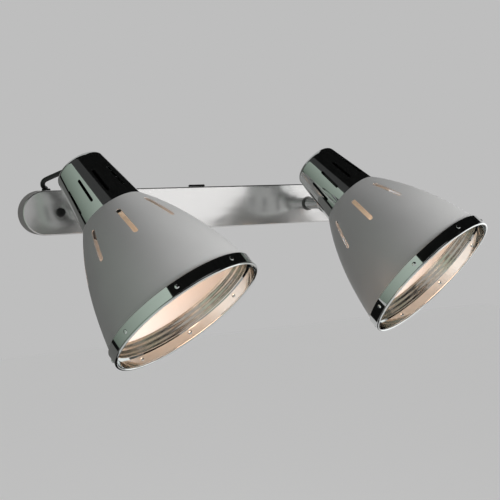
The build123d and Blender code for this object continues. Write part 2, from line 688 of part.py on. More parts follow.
def make_glass():
    """The lamp's glass: a neck that swells into a ball, open where it sits in its cap."""
    centre = GLASS_TIP - GLASS_RADIUS
    flare = (LAMP_CAP_END, LAMP_CAP_END + GLASS_FLARE_START, centre - GLASS_FLARE_END)

    def flank(inset):
        neck, ball = GLASS_NECK_RADIUS - inset, GLASS_RADIUS - inset
        return [(neck, 0, -flare[0]), (neck, 0, -flare[1]), (ball, 0, -flare[2]), (ball, 0, -centre)]

    outer, inner = flank(0), flank(GLASS_WALL)
    diagonal = math.sqrt(0.5)

    def crown(inset):
        ball = GLASS_RADIUS - inset
        return (ball, 0, -centre), (ball * diagonal, 0, -centre - ball * diagonal), (0, 0, -centre - ball)

    profile = [
        Line((GLASS_NECK_RADIUS, 0, -GLASS_SEAT), outer[0]),
        Bezier(*outer),
        ThreePointArc(*crown(0)),
        Line(crown(0)[2], crown(GLASS_WALL)[2]),
        ThreePointArc(*reversed(crown(GLASS_WALL))),
        Bezier(*reversed(inner)),
        Line(inner[0], (inner[0][0], 0, -GLASS_SEAT)),
        Line((inner[0][0], 0, -GLASS_SEAT), (GLASS_NECK_RADIUS, 0, -GLASS_SEAT)),
    ]
    return turned(profile)


def make_neck_nut():
    """The nut inside the neck that holds the knuckle's nipple, shaped to the wall it sits on."""
    wall = neck_radius(NECK_RISE) - NECK_WALL
    seat = wall - math.sqrt(wall**2 - (NUT_ACROSS_FLATS / 2) ** 2)
    plane = Plane(origin=(0, wall - seat - NECK_NUT_HEIGHT, -NECK_RISE), z_dir=(0, 1, 0))
    section = hexagon(NUT_ACROSS_FLATS) - Circle(NIPPLE_RADIUS + FIT_CLEARANCE)
    nut = extrude(plane * section, amount=NECK_NUT_HEIGHT + seat)
    return nut & neck_solid(NECK_WALL + FIT_CLEARANCE, NECK_LENGTH)


def make_neck_bush():
    """The lead's bush in the neck's top."""
    return Pos(0, NECK_BUSH_OFFSET, 0) * bush(NECK_WALL)


def make_holder_tail():
    """The lead's end between the neck's bush and the inside of the lampholder."""
    bottom = -HOLDER_TOP - HOLDER_WALL - LEAD_RADIUS
    return rod((0, NECK_BUSH_OFFSET, bottom), (0, NECK_BUSH_OFFSET, BUSH_OUTER_HEIGHT), LEAD_RADIUS)


# ---- stem and knuckle, drawn about the knuckle's centre with the bar towards +Y


def make_stem():
    """The stem: nipple, round bar and the knuckle half on the left, bored for the knuckle's screw."""
    face = KNUCKLE_REACH
    shoulder = face - STEM_WASHER_THICKNESS
    stack = COVER_WALL + BACKPLATE_THICKNESS + SPRING_WASHER_HEIGHT + STEM_NUT_HEIGHT
    stem = rod((0, KNUCKLE_ROD_START, 0), (0, shoulder, 0), STEM_RADIUS)
    stem += rod((0, shoulder, 0), (0, face + stack + NIPPLE_OVERHANG, 0), NIPPLE_RADIUS)
    stem += knuckle_half(-1)
    bore = KNUCKLE_SCREW_RADIUS + FIT_CLEARANCE
    return stem - rod((-LAP - KNUCKLE_HALF_WIDTH - PAST, 0, 0), (0, 0, 0), bore)


def knuckle_half(side):
    """A disc and the tongue that joins it to a bar. The stem's half is at side -1, its bar towards +Y."""
    centre = side * (LAP + KNUCKLE_HALF_WIDTH / 2)
    disc = rod((side * LAP, 0, 0), (side * (LAP + KNUCKLE_HALF_WIDTH), 0, 0), KNUCKLE_RADIUS)
    length = KNUCKLE_ROD_START + PAST
    tongue = Pos(centre, -side * length / 2, 0) * Box(KNUCKLE_HALF_WIDTH, length, 2 * STEM_RADIUS)
    bar = rod((0, 0, 0), (0, -side * length, 0), STEM_RADIUS)
    return disc + (tongue & bar)


def make_stem_washer():
    """The thin washer between the stem's shoulder and the cover."""
    face = KNUCKLE_REACH
    washer = rod((0, face - STEM_WASHER_THICKNESS, 0), (0, face, 0), STEM_WASHER_RADIUS)
    hole_start = face - STEM_WASHER_THICKNESS - PAST
    return washer - rod((0, hole_start, 0), (0, face + PAST, 0), NIPPLE_RADIUS + FIT_CLEARANCE)


def make_spring_washer():
    """The dished washer that gives the stem its friction."""
    start = KNUCKLE_REACH + COVER_WALL + BACKPLATE_THICKNESS
    bore, rim = NIPPLE_RADIUS + FIT_CLEARANCE, SPRING_WASHER_RADIUS
    high, low = SPRING_WASHER_HEIGHT, SPRING_WASHER_DISH
    profile = Polyline((rim, 0), (rim, SPRING_WASHER_THICKNESS), (bore, high), (bore, low), close=True)
    return Pos(0, start, 0) * revolve(make_face(profile), Axis.Y)


def make_stem_nut():
    """The nut on the stem's nipple, inside the bar."""
    start = KNUCKLE_REACH + COVER_WALL + BACKPLATE_THICKNESS + SPRING_WASHER_HEIGHT
    plane = Plane(origin=(0, start, 0), z_dir=(0, 1, 0))
    section = hexagon(NUT_ACROSS_FLATS) - Circle(NIPPLE_RADIUS + FIT_CLEARANCE)
    return extrude(plane * section, amount=STEM_NUT_HEIGHT)


def make_neck_knuckle():
    """The knuckle half on the lamp's side, with a bar up to the neck and a nipple through its wall."""
    knuckle = knuckle_half(1)
    wall = NECK_REACH - neck_radius(NECK_RISE)
    bar = rod((0, -KNUCKLE_ROD_START, 0), (0, -NECK_REACH, 0), STEM_RADIUS)
    bar -= Pos(0, -NECK_REACH, NECK_RISE) * neck_solid(-FIT_CLEARANCE, NECK_LENGTH)
    nipple_end = wall + NECK_WALL + NECK_NUT_HEIGHT + NECK_NUT_OVERHANG
    knuckle += bar + rod((0, -KNUCKLE_ROD_START, 0), (0, -nipple_end, 0), NIPPLE_RADIUS)
    bore = KNUCKLE_SCREW_RADIUS + RUNNING_CLEARANCE
    return knuckle - rod((0, 0, 0), (LAP + KNUCKLE_HALF_WIDTH + PAST, 0, 0), bore)


def make_knuckle_washer():
    """The friction washer between the knuckle's halves."""
    washer = rod((-LAP, 0, 0), (LAP, 0, 0), KNUCKLE_RADIUS - KNUCKLE_WASHER_INSET)
    return washer - rod((-PAST, 0, 0), (PAST, 0, 0), KNUCKLE_SCREW_RADIUS + RUNNING_CLEARANCE)


def make_knuckle_screw():
    """The knuckle's screw, with its slotted head on the lamp's half and its thread in the stem's half."""
    face = LAP + KNUCKLE_HALF_WIDTH
    head = rod((face, 0, 0), (face + KNUCKLE_SCREW_HEAD_HEIGHT, 0, 0), KNUCKLE_SCREW_HEAD_RADIUS)
    head = fillet(head.edges().group_by(Axis.X)[-1], KNUCKLE_SCREW_ROUND)
    slot_x = face + KNUCKLE_SCREW_HEAD_HEIGHT
    slot = Box(2 * KNUCKLE_SCREW_SLOT_DEPTH, KNUCKLE_SCREW_SLOT, 2 * KNUCKLE_SCREW_HEAD_RADIUS + PAST)
    head -= Pos(slot_x, 0, 0) * slot
    return head + rod((-face, 0, 0), (face, 0, 0), KNUCKLE_SCREW_RADIUS)


# ---- placing


def place_stem(shape, side, pan):
    """Turn a stem's piece sideways and move it to its pivot on the bar."""
    return shape.rotate(Axis.Y, -pan).moved(Location((side * PIVOT_X, KNUCKLE_Y, 0)))


def place_lamp(shape, side, tilt, pan):
    """Tilt a lamp's piece, drawn about the knuckle, and put it on its stem."""
    return place_stem(shape.rotate(Axis.X, -tilt), side, pan)


def on_neck(shape):
    """Move a piece drawn about the lamp's axis to the knuckle's frame."""
    return shape.moved(Location((0, -NECK_REACH, NECK_RISE)))


def lead_route(side, tilt, pan, middle):
    """The lead's points from the neck's bush to the bar's grommet."""
    middle = [(side * PIVOT_X + x, y, z) for x, y, z in middle]
    start = Vertex(0, NECK_BUSH_OFFSET, BUSH_OUTER_HEIGHT)
    leave = Vertex(0, NECK_BUSH_OFFSET, BUSH_OUTER_HEIGHT + LEAD_EXIT_RUN)
    ends = [place_lamp(on_neck(point), side, tilt, pan).center() for point in (start, leave)]
    top = TOP_FACE + BUSH_OUTER_HEIGHT
    over = (side * GROMMET_X, GROMMET_Y, top + LEAD_EXIT_RUN)
    foot = (side * GROMMET_X, GROMMET_Y, top)
    return [tuple(ends[0]), tuple(ends[1]), *middle, over, foot]


def make_lead(name, route):
    """The free stretch of a lead. Its radii, and its volume over section times length, are printed."""
    radii = bend_radii(route)
    path = FilletPolyline(*route, radius=radii)
    tube = sweep(Plane(origin=path @ 0, z_dir=path % 0) * Circle(LEAD_RADIUS), path=path)
    expected = math.pi * LEAD_RADIUS**2 * path.length
    print(name, "length", round(path.length, 1), "radii", [round(r, 1) for r in radii])
    print(name, "volume over section times length", round(tube.volume / expected, 4))
    return tube


def write(name, shape):
    """Write one named sub-part, or a group of like solids."""
    solids = []
    for piece in shape if isinstance(shape, list) else [shape]:
        solids.extend(piece.solids())
    export_step(Compound(children=solids) if len(solids) > 1 else solids[0], f"parts/{name}.step")


BAR_PIECES = {
    "cover": make_cover,
    "wall_bracket": make_bracket,
    "screw_posts": make_posts,
    "cover_screws": make_cover_screws,
    "stem_backplates": make_backplates,
    "terminal_block": make_block,
    "terminal_screws": make_block_screws,
    "earth_terminal": make_earth_terminal,
    "cord_clamps": make_clamps,
    "entry_blank": make_entry_blank,
}
STEM_PIECES = {
    "swivel_stem": make_stem,
    "stem_washer": make_stem_washer,
    "stem_spring_washer": make_spring_washer,
    "stem_nut": make_stem_nut,
    "knuckle_washer": make_knuckle_washer,
    "knuckle_screw": make_knuckle_screw,
}
NECK_PIECES = {
    "neck_cup": make_neck_cup,
    "neck_bush": make_neck_bush,
    "neck_nut": make_neck_nut,
    "cap_nut": make_cap_nut,
    "holder_dome": make_holder_dome,
    "holder_skirt": make_holder_skirt,
    "shade_ring": make_shade_ring,
    "screw_shell": make_screw_shell,
    "centre_contact": make_centre_contact,
    "bulb_cap": make_lamp_cap,
    "bulb_glass": make_glass,
    "holder_tail": make_holder_tail,
}
TURNED_PIECES = {"shade": make_shade, "mouth_ring": make_mouth_ring, "ring_rivets": make_rivets}

for piece_name, make in BAR_PIECES.items():
    write(piece_name, make())

for label, side, tilt, pan, turn, middle in (
    ("left", -1, LEFT_TILT, LEFT_PAN, 0.0, LEFT_LEAD_POINTS),
    ("right", 1, RIGHT_TILT, RIGHT_PAN, RIGHT_SHADE_ANGLE, RIGHT_LEAD_POINTS),
):
    for piece_name, make in STEM_PIECES.items():
        write(f"{label}_{piece_name}", place_stem(make(), side, pan))
    write(f"{label}_neck_knuckle", place_lamp(make_neck_knuckle(), side, tilt, pan))
    for piece_name, make in NECK_PIECES.items():
        write(f"{label}_{piece_name}", place_lamp(on_neck(make()), side, tilt, pan))
    for piece_name, make in TURNED_PIECES.items():
        pieces = make(turn)
        pieces = pieces if isinstance(pieces, list) else [pieces]
        write(f"{label}_{piece_name}", [place_lamp(on_neck(piece), side, tilt, pan) for piece in pieces])
    write(f"{label}_lead", make_lead(label, lead_route(side, tilt, pan, middle)))
    write(f"{label}_bar_tail", make_bar_tail(side))
    grommet = Pos(side * GROMMET_X, GROMMET_Y, TOP_FACE) * bush(COVER_WALL)
    write(f"{label}_cover_grommet", grommet)
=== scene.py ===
"""Looks of a wall light with two spotlights: bell shades on slotted necks, on a slim round-ended bar."""

from __future__ import annotations

import logging
import math
import sys
from dataclasses import dataclass, field
from enum import Enum
from typing import Sequence

import bmesh
import bpy
from mathutils import Matrix, Vector

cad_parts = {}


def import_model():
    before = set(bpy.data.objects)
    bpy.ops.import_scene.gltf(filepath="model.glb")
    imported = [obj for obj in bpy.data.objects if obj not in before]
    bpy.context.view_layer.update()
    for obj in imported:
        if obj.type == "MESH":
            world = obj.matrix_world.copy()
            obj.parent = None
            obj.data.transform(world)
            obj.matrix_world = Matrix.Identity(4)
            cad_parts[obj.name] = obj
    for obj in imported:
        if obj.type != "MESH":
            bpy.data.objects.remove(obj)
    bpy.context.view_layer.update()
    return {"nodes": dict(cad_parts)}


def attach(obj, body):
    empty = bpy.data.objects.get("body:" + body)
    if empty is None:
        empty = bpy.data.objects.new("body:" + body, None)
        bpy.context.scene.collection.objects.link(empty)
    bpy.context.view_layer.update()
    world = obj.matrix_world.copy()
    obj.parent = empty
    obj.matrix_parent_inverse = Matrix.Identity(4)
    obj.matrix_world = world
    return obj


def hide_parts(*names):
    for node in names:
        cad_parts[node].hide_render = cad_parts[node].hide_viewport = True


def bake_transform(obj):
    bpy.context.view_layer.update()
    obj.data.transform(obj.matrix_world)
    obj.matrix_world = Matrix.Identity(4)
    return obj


LOG = logging.getLogger("wall_light")
MM = 0.001
Point = tuple[float, float]
Spot = tuple[float, float, float]
Span = tuple[float, float]
Profile = Sequence[Point]
Nodes = dict[str, bpy.types.Object]

# How far a cutting tool reaches past the face that it opens, in millimetres.
PAST = 2.0
# Heights in millimetres that are nearer than this are the same.
SAME = 1e-4
# Facets in a full turn: of slots' ends, of small round holes, and of the large spun pieces.
SLOT_FACETS = 24
SMALL_HOLE_FACETS = 32
LARGE_SPUN_FACETS = 224
# Sockets of a Mix node that take its two colours and give the mixed one.
MIX_LOW, MIX_HIGH, MIX_RESULT = 6, 7, 2


class Side(Enum):
    """The two lamps, as seen from the room."""

    LEFT = "left"
    RIGHT = "right"


class Way(Enum):
    """The way that a rivet's head faces, from the lamp's axis."""

    OUTWARD = 1
    INWARD = -1


# ---------------------------------------------------------------- colour and nodes


def linear(hex_colour: str, alpha: float = 1.0) -> tuple[float, float, float, float]:
    """Turn an sRGB hex value into linear light.

    Args:
        hex_colour: six hex digits after a hash sign.
        alpha: the fourth number of the result.

    Returns:
        Linear red, green, blue and alpha.
    """
    channels = [int(hex_colour[at : at + 2], 16) / 255 for at in (1, 3, 5)]
    red, green, blue = (c / 12.92 if c <= 0.04045 else ((c + 0.055) / 1.055) ** 2.4 for c in channels)
    return red, green, blue, alpha


def add_node(
    tree: bpy.types.NodeTree, kind: str, settings: dict | None = None, inputs: dict | None = None
) -> bpy.types.Node:
    """Add a node, set its properties and feed its sockets.

    Args:
        tree: the material's or world's tree.
        kind: the node's type name.
        settings: properties by name.
        inputs: values or sockets by input name or number. A socket is linked.

    Returns:
        The new node.
    """
    node = tree.nodes.new(kind)
    for name, value in (settings or {}).items():
        setattr(node, name, value)
    for name, value in (inputs or {}).items():
        if isinstance(value, bpy.types.NodeSocket):
            tree.links.new(value, node.inputs[name])
        else:
            node.inputs[name].default_value = value
    return node


# ---------------------------------------------------------------- finishes


@dataclass(frozen=True)
class Finish:
    """A surface made from one Principled shader, with two scales of unevenness.

    Attributes:
        title: what the real surface is, and how it was made.
        colour: sRGB hex value of its usual tone.
        deeper: sRGB hex value of its darker patches.
        metallic: 1 for bare metal and plate, 0 for the rest.
        smooth: lowest roughness.
        rough: highest roughness.
        patch_mm: size of the cloudy patches in tone and gloss.
        grain_mm: size of the fine grain in the surface.
        grain_depth_mm: height of the fine grain.
        stretch: how much longer the grain is along the bar than across it.
        glow: emission strength, in the glow colour.
        glow_colour: sRGB hex value of the emission.
        dim_colour: its value where the mesh's own "lit" attribute is 0, or empty where the glow is even.
        ior: index of refraction, for what isn't metal.
    """

    title: str
    colour: str
    deeper: str
    metallic: float
    smooth: float
    rough: float
    patch_mm: float
    grain_mm: float
    grain_depth_mm: float
    stretch: float = 1.0
    glow: float = 0.0
    glow_colour: str = "#ffffff"
    dim_colour: str = ""
    ior: float = 1.5

    def build(self) -> bpy.types.Material:
        """Make the material.

        Returns:
            A node material named for the finish.
        """
        material = bpy.data.materials.new(self.title)
        material.use_nodes = True
        tree = material.node_tree
        tree.nodes.clear()
        place = add_node(tree, "ShaderNodeTexCoord").outputs["Object"]
        squeeze = {"Vector": place, "Scale": (1 / self.stretch, 1.0, 1.0)}
        drawn = add_node(tree, "ShaderNodeMapping", inputs=squeeze).outputs["Vector"]
        patches = add_node(
            tree,
            "ShaderNodeTexNoise",
            inputs={"Vector": place, "Scale": 1 / (self.patch_mm * MM), "Detail": 3.0, "Roughness": 0.55},
        ).outputs["Fac"]
        grain = add_node(
            tree,
            "ShaderNodeTexNoise",
            inputs={"Vector": drawn, "Scale": 1 / (self.grain_mm * MM), "Detail": 2.0, "Roughness": 0.5},
        ).outputs["Fac"]
        tone = add_node(
            tree,
            "ShaderNodeMix",
            {"data_type": "RGBA"},
            {"Factor": patches, MIX_LOW: linear(self.deeper), MIX_HIGH: linear(self.colour)},
        ).outputs[MIX_RESULT]
        gloss = add_node(
            tree,
            "ShaderNodeMapRange",
            inputs={
                "Value": patches,
                "From Min": 0.3,
                "From Max": 0.7,
                "To Min": self.smooth,
                "To Max": self.rough,
            },
        ).outputs["Result"]
        relief = add_node(
            tree,
            "ShaderNodeBump",
            inputs={"Height": grain, "Strength": 1.0, "Distance": self.grain_depth_mm * MM},
        ).outputs["Normal"]
        shader = add_node(
            tree,
            "ShaderNodeBsdfPrincipled",
            inputs={
                "Base Color": tone,
                "Metallic": self.metallic,
                "Roughness": gloss,
                "Normal": relief,
                "Emission Color": linear(self.glow_colour),
                "Emission Strength": self.glow,
            },
        )
        if self.dim_colour:
            lit = add_node(tree, "ShaderNodeAttribute", {"attribute_name": "lit"}).outputs["Fac"]
            glow = add_node(
                tree,
                "ShaderNodeMix",
                {"data_type": "RGBA"},
                {"Factor": lit, MIX_LOW: linear(self.dim_colour), MIX_HIGH: linear(self.glow_colour)},
            ).outputs[MIX_RESULT]
            tree.links.new(glow, shader.inputs["Emission Color"])
        if not self.metallic:
            shader.inputs["IOR"].default_value = self.ior
        add_node(tree, "ShaderNodeOutputMaterial", inputs={"Surface": shader.outputs["BSDF"]})
        return material


def hung(title: str, grain_mm: float, glow_colour: str, dim_colour: str = "") -> Finish:
    """Give the finish of a cloth or card that only polish sees: it shows one even tone, whatever lights it.

    Args:
        title: what it is.
        grain_mm: size of its weave or grain.
        glow_colour: its tone.
        dim_colour: its tone at its first edge, where it isn't even.

    Returns:
        The finish.
    """
    plain = (title, "#000000", "#000000", 0.0, 0.9, 1.0, 60.0, grain_mm, 0.02)
    return Finish(*plain, glow=1.0, glow_colour=glow_colour, dim_colour=dim_colour)


# The numbers are, in order: metallic, the lowest and the highest roughness, then in millimetres the size of
# the patches, the size of the grain and its depth. The real grain of plate and plastic is finer than a pixel
# of the render, so it is drawn 0.3 to 2 mm coarse and only some microns deep.
FINISHES = {
    # Bright chrome over polished nickel: a mirror with a faint ripple from the buffing wheel.
    "chrome": Finish("bright_chrome_plate", "#d6d9d8", "#ced1d0", 1.0, 0.03, 0.06, 18.0, 6.0, 0.0012),
    # The ring's sleeve is left as it was spun, so it blurs what it mirrors into streaks.
    "sleeve": Finish("spun_chrome_plate", "#d8d2c8", "#c8c2b8", 1.0, 0.14, 0.22, 6.0, 1.0, 0.002),
    # Sheet steel, blasted fine, in satin nickel under a matt clear coat: it scatters nearly all light, so the
    # shade is an even pale grey that darkens round its curve, with hardly a reflection in it.
    "satin": Finish("satin_nickel_plate", "#d6d6d5", "#d0d0cf", 0.2, 0.46, 0.54, 22.0, 0.5, 0.0016),
    # Brushed along the bar's length, then plated: bright where it mirrors a light, with soft reflections.
    "bar": Finish(
        "brushed_nickel_plate", "#d8d7d6", "#d0cfce", 0.82, 0.15, 0.19, 25.0, 0.5, 0.0012, stretch=14.0
    ),
    # Zinc on small steel pieces: a dull, slightly cloudy grey.
    "zinc": Finish("zinc_plated_steel", "#a9aaa6", "#8f918e", 1.0, 0.32, 0.45, 5.0, 0.6, 0.004),
    # Blackened screw heads: nearly black, with a soft shine.
    "oxide": Finish("black_oxide_steel", "#0b0b0b", "#060606", 0.0, 0.30, 0.42, 2.0, 0.3, 0.003),
    # The lampholder's moulded resin: black with a broad highlight.
    "bakelite": Finish("moulded_black_resin", "#0d0d0d", "#080808", 0.0, 0.30, 0.40, 6.0, 0.7, 0.004),
    # Moulded rubber of the grommets, bushes and blank: black without a highlight.
    "rubber": Finish("moulded_black_rubber", "#111111", "#0b0b0b", 0.0, 0.62, 0.75, 3.0, 0.3, 0.006),
    # Extruded sheath of the leads: black with a dull line of light along it.
    "sheath": Finish("black_pvc_sheath", "#101010", "#0a0a0a", 0.0, 0.38, 0.50, 8.0, 0.5, 0.006),
    # Undyed turned nylon of the knuckles' washers and of the inner clamps: a milky off-white.
    "nylon": Finish("natural_nylon", "#d9d6cb", "#cac6b8", 0.0, 0.45, 0.55, 4.0, 0.4, 0.004),
    # Nylon of the washers under the stems, in a mid grey that is painted shade: the white washers are greyed
    # for the shadow where the stems meet the bar.
    "shade_greyed_nylon": Finish("shade_greyed_nylon", "#5f5f5d", "#545452", 0.0, 0.45, 0.55, 4.0, 0.4, 0.004),
    # Drawn brass of the contacts: a dull yellow metal.
    "brass": Finish("drawn_brass", "#c9a45c", "#b08c48", 1.0, 0.25, 0.40, 4.0, 0.5, 0.003),
    # Rolled aluminium of the lamp's cap: a bright, soft grey.
    "aluminium": Finish("rolled_aluminium", "#c8c8c6", "#b2b2b0", 1.0, 0.30, 0.42, 4.0, 0.5, 0.003),
    # Blown opal glass lit from inside: an even warm white, and dark towards the cap.
    "opal": Finish(
        "opal_glass",
        "#fff3e2",
        "#fdeedb",
        0.0,
        0.22,
        0.28,
        12.0,
        2.0,
        0.001,
        glow=4.2,
        glow_colour="#ffcfae",
        dim_colour="#2c261e",
    ),
    # Uncoated studio paper on the floor: plain and pale.
    "paper": Finish("pale_studio_paper", "#bcbcbb", "#babab9", 0.0, 0.85, 0.92, 400.0, 3.0, 0.01),
    # What polish mirrors of the room: black and grey cloths, a grey board, and a painted card on the left.
    "cloth": Finish("black_velvet_cloth", "#030303", "#020202", 0.0, 0.90, 1.00, 60.0, 2.0, 0.02),
    "dusk": hung("dark_grey_cloth", 2.0, "#3e3e3e"),
    "board": hung("grey_board", 2.0, "#686866"),
    "card": hung("green_grey_board", 4.0, "#c4d1c6", "#6f7a70"),
}


class Wardrobe:
    """Materials by short name, each made once."""

    def __init__(self) -> None:
        """Start with no material made."""
        self.made: dict[str, bpy.types.Material] = {}

    def get(self, key: str) -> bpy.types.Material:
        """Give the material of a finish.

        Args:
            key: a name in FINISHES.

        Returns:
            The material.
        """
        if key not in self.made:
            self.made[key] = FINISHES[key].build()
        return self.made[key]


# ---------------------------------------------------------------- shared mesh work


def arc(centre: Point, radius: float, start: float, end: float, steps: int) -> list[Point]:
    """Points on an arc of a profile.

    Args:
        centre: radius and distance of the arc's centre.
        radius: the arc's radius.
        start: first angle in degrees, from the outward radius towards the neck's top.
        end: last angle in degrees.
        steps: number of spans.

    Returns:
        The points, both ends included.
    """
    turns = (math.radians(start + (end - start) * step / steps) for step in range(steps + 1))
    return [(centre[0] + radius * math.cos(turn), centre[1] - radius * math.sin(turn)) for turn in turns]


def spun(profile: Profile, closed: bool = True, steps: int = 192) -> bmesh.types.BMesh:
    """Turn a profile about the lamp's axis.

    Args:
        profile: (radius, distance from the neck's top) in millimetres.
        closed: whether the last point joins the first.
        steps: facets in a full turn.

    Returns:
        A closed mesh with its faces outwards.
    """
    mesh = bmesh.new()
    verts = [mesh.verts.new((radius, 0.0, -distance)) for radius, distance in profile]
    ends = verts[1:] + verts[:1] if closed else verts[1:]
    edges = [mesh.edges.new(pair) for pair in zip(verts, ends)]
    bmesh.ops.spin(
        mesh, geom=verts + edges, cent=(0, 0, 0), axis=(0, 0, 1), angle=math.tau, steps=steps, use_merge=True
    )
    bmesh.ops.remove_doubles(mesh, verts=mesh.verts, dist=1e-5)
    bmesh.ops.recalc_face_normals(mesh, faces=mesh.faces)
    return mesh


def round_tool(
    start: Vector, end: Vector, radius: float, mesh: bmesh.types.BMesh, segments: int = 48
) -> None:
    """Add a cylinder from start to end to a mesh of cutting tools.

    Args:
        start: centre of one end, in millimetres.
        end: centre of the other end.
        radius: the cylinder's radius.
        mesh: what it is added to.
        segments: its sides.
    """
    run = end - start
    turn = run.to_track_quat("Z", "Y").to_matrix().to_4x4()
    place = Matrix.Translation((start + end) / 2) @ turn
    bmesh.ops.create_cone(
        mesh, cap_ends=True, segments=segments, radius1=radius, radius2=radius, depth=run.length, matrix=place
    )


def oblong_tool(
    length: float, width: float, reach: Span, place: Matrix, mesh: bmesh.types.BMesh
) -> None:
    """Add a round-ended prism to a mesh of cutting tools. It points along +X, and its length lies along Z.

    Args:
        length: end to end, in millimetres.
        width: across the slot.
        reach: where it starts and ends along X.
        place: where it goes.
        mesh: what it is added to.
    """
    lying = Matrix.Translation((reach[0], 0, 0)) @ Matrix.Rotation(math.radians(90), 4, "Y")
    half_facet = Matrix.Rotation(math.radians(180 / SLOT_FACETS), 4, "Z")
    made = bmesh.ops.create_circle(
        mesh, cap_ends=True, segments=SLOT_FACETS, radius=width / 2, matrix=lying @ half_facet
    )["verts"]
    half = (length - width) / 2
    for upper in (1, -1):
        bmesh.ops.translate(mesh, verts=[v for v in made if v.co.z * upper > 0], vec=(0, 0, half * upper))
    face = made[0].link_faces[0]
    grown = bmesh.ops.extrude_face_region(mesh, geom=[face], use_keep_orig=True)["geom"]
    far = [part for part in grown if isinstance(part, bmesh.types.BMVert)]
    bmesh.ops.translate(mesh, verts=far, vec=(reach[1] - reach[0], 0, 0))
    bmesh.ops.transform(mesh, matrix=place, verts=list({*made, *far}))


def oblong_row(
    count: int, phase: float, along: Span, width: float, reach: Span, mesh: bmesh.types.BMesh
) -> None:
    """Add a row of round-ended prisms round the lamp's axis to a mesh of cutting tools.

    Args:
        count: how many there are.
        phase: angle of the first, in degrees.
        along: where they start and end, measured from the neck's top in millimetres.
        width: across each slot.
        reach: how near to and how far from the axis they go.
        mesh: what they are added to.
    """
    start, end = along
    for step in range(count):
        turn = Matrix.Rotation(math.radians(phase + 360 * step / count), 4, "Z")
        place = turn @ Matrix.Translation((0, 0, -(start + end) / 2))
        oblong_tool(end - start, width, reach, place, mesh)


def linked(name: str, data: bpy.types.ID) -> bpy.types.Object:
    """Make an object of some data, at the origin, and link it to the scene."""
    made = bpy.data.objects.new(name, data)
    bpy.context.scene.collection.objects.link(made)
    return made


def as_object(name: str, mesh: bmesh.types.BMesh, place: Matrix) -> bpy.types.Object:
    """Give a mesh drawn in millimetres its place, in metres, and an object at the origin.

    Args:
        name: the object's name.
        mesh: the bmesh, which is freed.
        place: where its own frame goes in the part's frame.

    Returns:
        The object, linked to the scene.
    """
    bmesh.ops.transform(mesh, matrix=place @ Matrix.Scale(MM, 4), verts=mesh.verts)
    data = bpy.data.meshes.new(name)
    mesh.to_mesh(data)
    mesh.free()
    return linked(name, data)


def settle(piece: bpy.types.Object) -> None:
    """Put a piece's modifiers into its mesh."""
    graph = bpy.context.evaluated_depsgraph_get()
    graph.update()
    data = bpy.data.meshes.new_from_object(piece.evaluated_get(graph))
    piece.modifiers.clear()
    old, piece.data = piece.data, data
    data.name = old.name
    bpy.data.meshes.remove(old)


def cut_away(piece: bpy.types.Object, tools: bmesh.types.BMesh, place: Matrix) -> None:
    """Cut tools drawn in millimetres out of a piece.

    Args:
        piece: what is cut.
        tools: closed shapes that don't overlap, freed here.
        place: where their frame goes.
    """
    bmesh.ops.recalc_face_normals(tools, faces=tools.faces)
    tool = as_object("cutting_tools", tools, place)
    cutting = piece.modifiers.new("cut", "BOOLEAN")
    cutting.operation = "DIFFERENCE"
    cutting.solver = "EXACT"
    cutting.object = tool
    settle(piece)
    bpy.data.objects.remove(tool)


def dress(piece: bpy.types.Object, material: bpy.types.Material, sharp: float = 32.0) -> bpy.types.Object:
    """Give a piece its finish and smooth shading, with edges kept sharp past an angle in degrees."""
    piece.data.materials.clear()
    piece.data.materials.append(material)
    piece.data.shade_smooth()
    piece.data.set_sharp_from_angle(angle=math.radians(sharp))
    return piece


def stand_for(piece: bpy.types.Object, body: str, slot: str, *nodes: str) -> bpy.types.Object:
    """Let a new piece ride on a body in place of CAD nodes.

    Args:
        piece: the new piece.
        body: the body that it moves with.
        slot: the record's material slot; not used.
        nodes: the nodes that it stands for.

    Returns:
        The piece.
    """
    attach(piece, body)
    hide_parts(*nodes)
    LOG.info("%s stands for %s on %s", piece.name, ", ".join(nodes), body)
    return piece


def eased_copy(node: bpy.types.Object, name: str, width_mm: float) -> bpy.types.Object:
    """Copy a CAD node with its doubles merged, its flats whole and its edges eased.

    Args:
        node: the CAD node's object.
        name: the copy's name.
        width_mm: width of the eased edges.

    Returns:
        The copy, at the origin.
    """
    mesh = bmesh.new()
    mesh.from_mesh(node.data)
    bmesh.ops.remove_doubles(mesh, verts=mesh.verts, dist=2e-6)
    bmesh.ops.dissolve_limit(mesh, angle_limit=math.radians(0.5), verts=mesh.verts, edges=mesh.edges)
    data = bpy.data.meshes.new(name)
    mesh.to_mesh(data)
    mesh.free()
    made = linked(name, data)
    easing = made.modifiers.new("eased_edges", "BEVEL")
    easing.width = width_mm * MM
    easing.segments = 2
    easing.limit_method = "ANGLE"
    easing.angle_limit = math.radians(40)
    easing.harden_normals = True
    return made


# ---------------------------------------------------------------- where the lamps stand


@dataclass(frozen=True)
class Stance:
    """How one lamp stands in the photograph.

    Attributes:
        side: which lamp it is.
        tilt: degrees from hanging straight down.
        pan: degrees that the stem is turned to the right.
        shade_turn: degrees that the shade and its ring are turned in the holder.
        knuckle: centre of the knuckle, in metres.
        neck_reach: from the knuckle to the lamp's axis, in millimetres.
        neck_rise: from the knuckle up to the neck's top, along that axis.
    """

    side: Side
    tilt: float
    pan: float
    shade_turn: float
    knuckle: Spot
    neck_reach: float = 42.0
    neck_rise: float = 25.4

    def name(self, piece: str) -> str:
        """Name a piece of this lamp."""
        return f"{self.side.value}_{piece}"

    def on_stem(self) -> Matrix:
        """Give the frame of what only turns sideways, about the knuckle's centre."""
        return Matrix.Translation(self.knuckle) @ Matrix.Rotation(math.radians(-self.pan), 4, "Y")

    def on_axis(self) -> Matrix:
        """Give the frame of the lamp's axis, with the neck's top at its origin."""
        lift = Matrix.Translation(Vector((0, -self.neck_reach, self.neck_rise)) * MM)
        return self.on_stem() @ Matrix.Rotation(math.radians(-self.tilt), 4, "X") @ lift


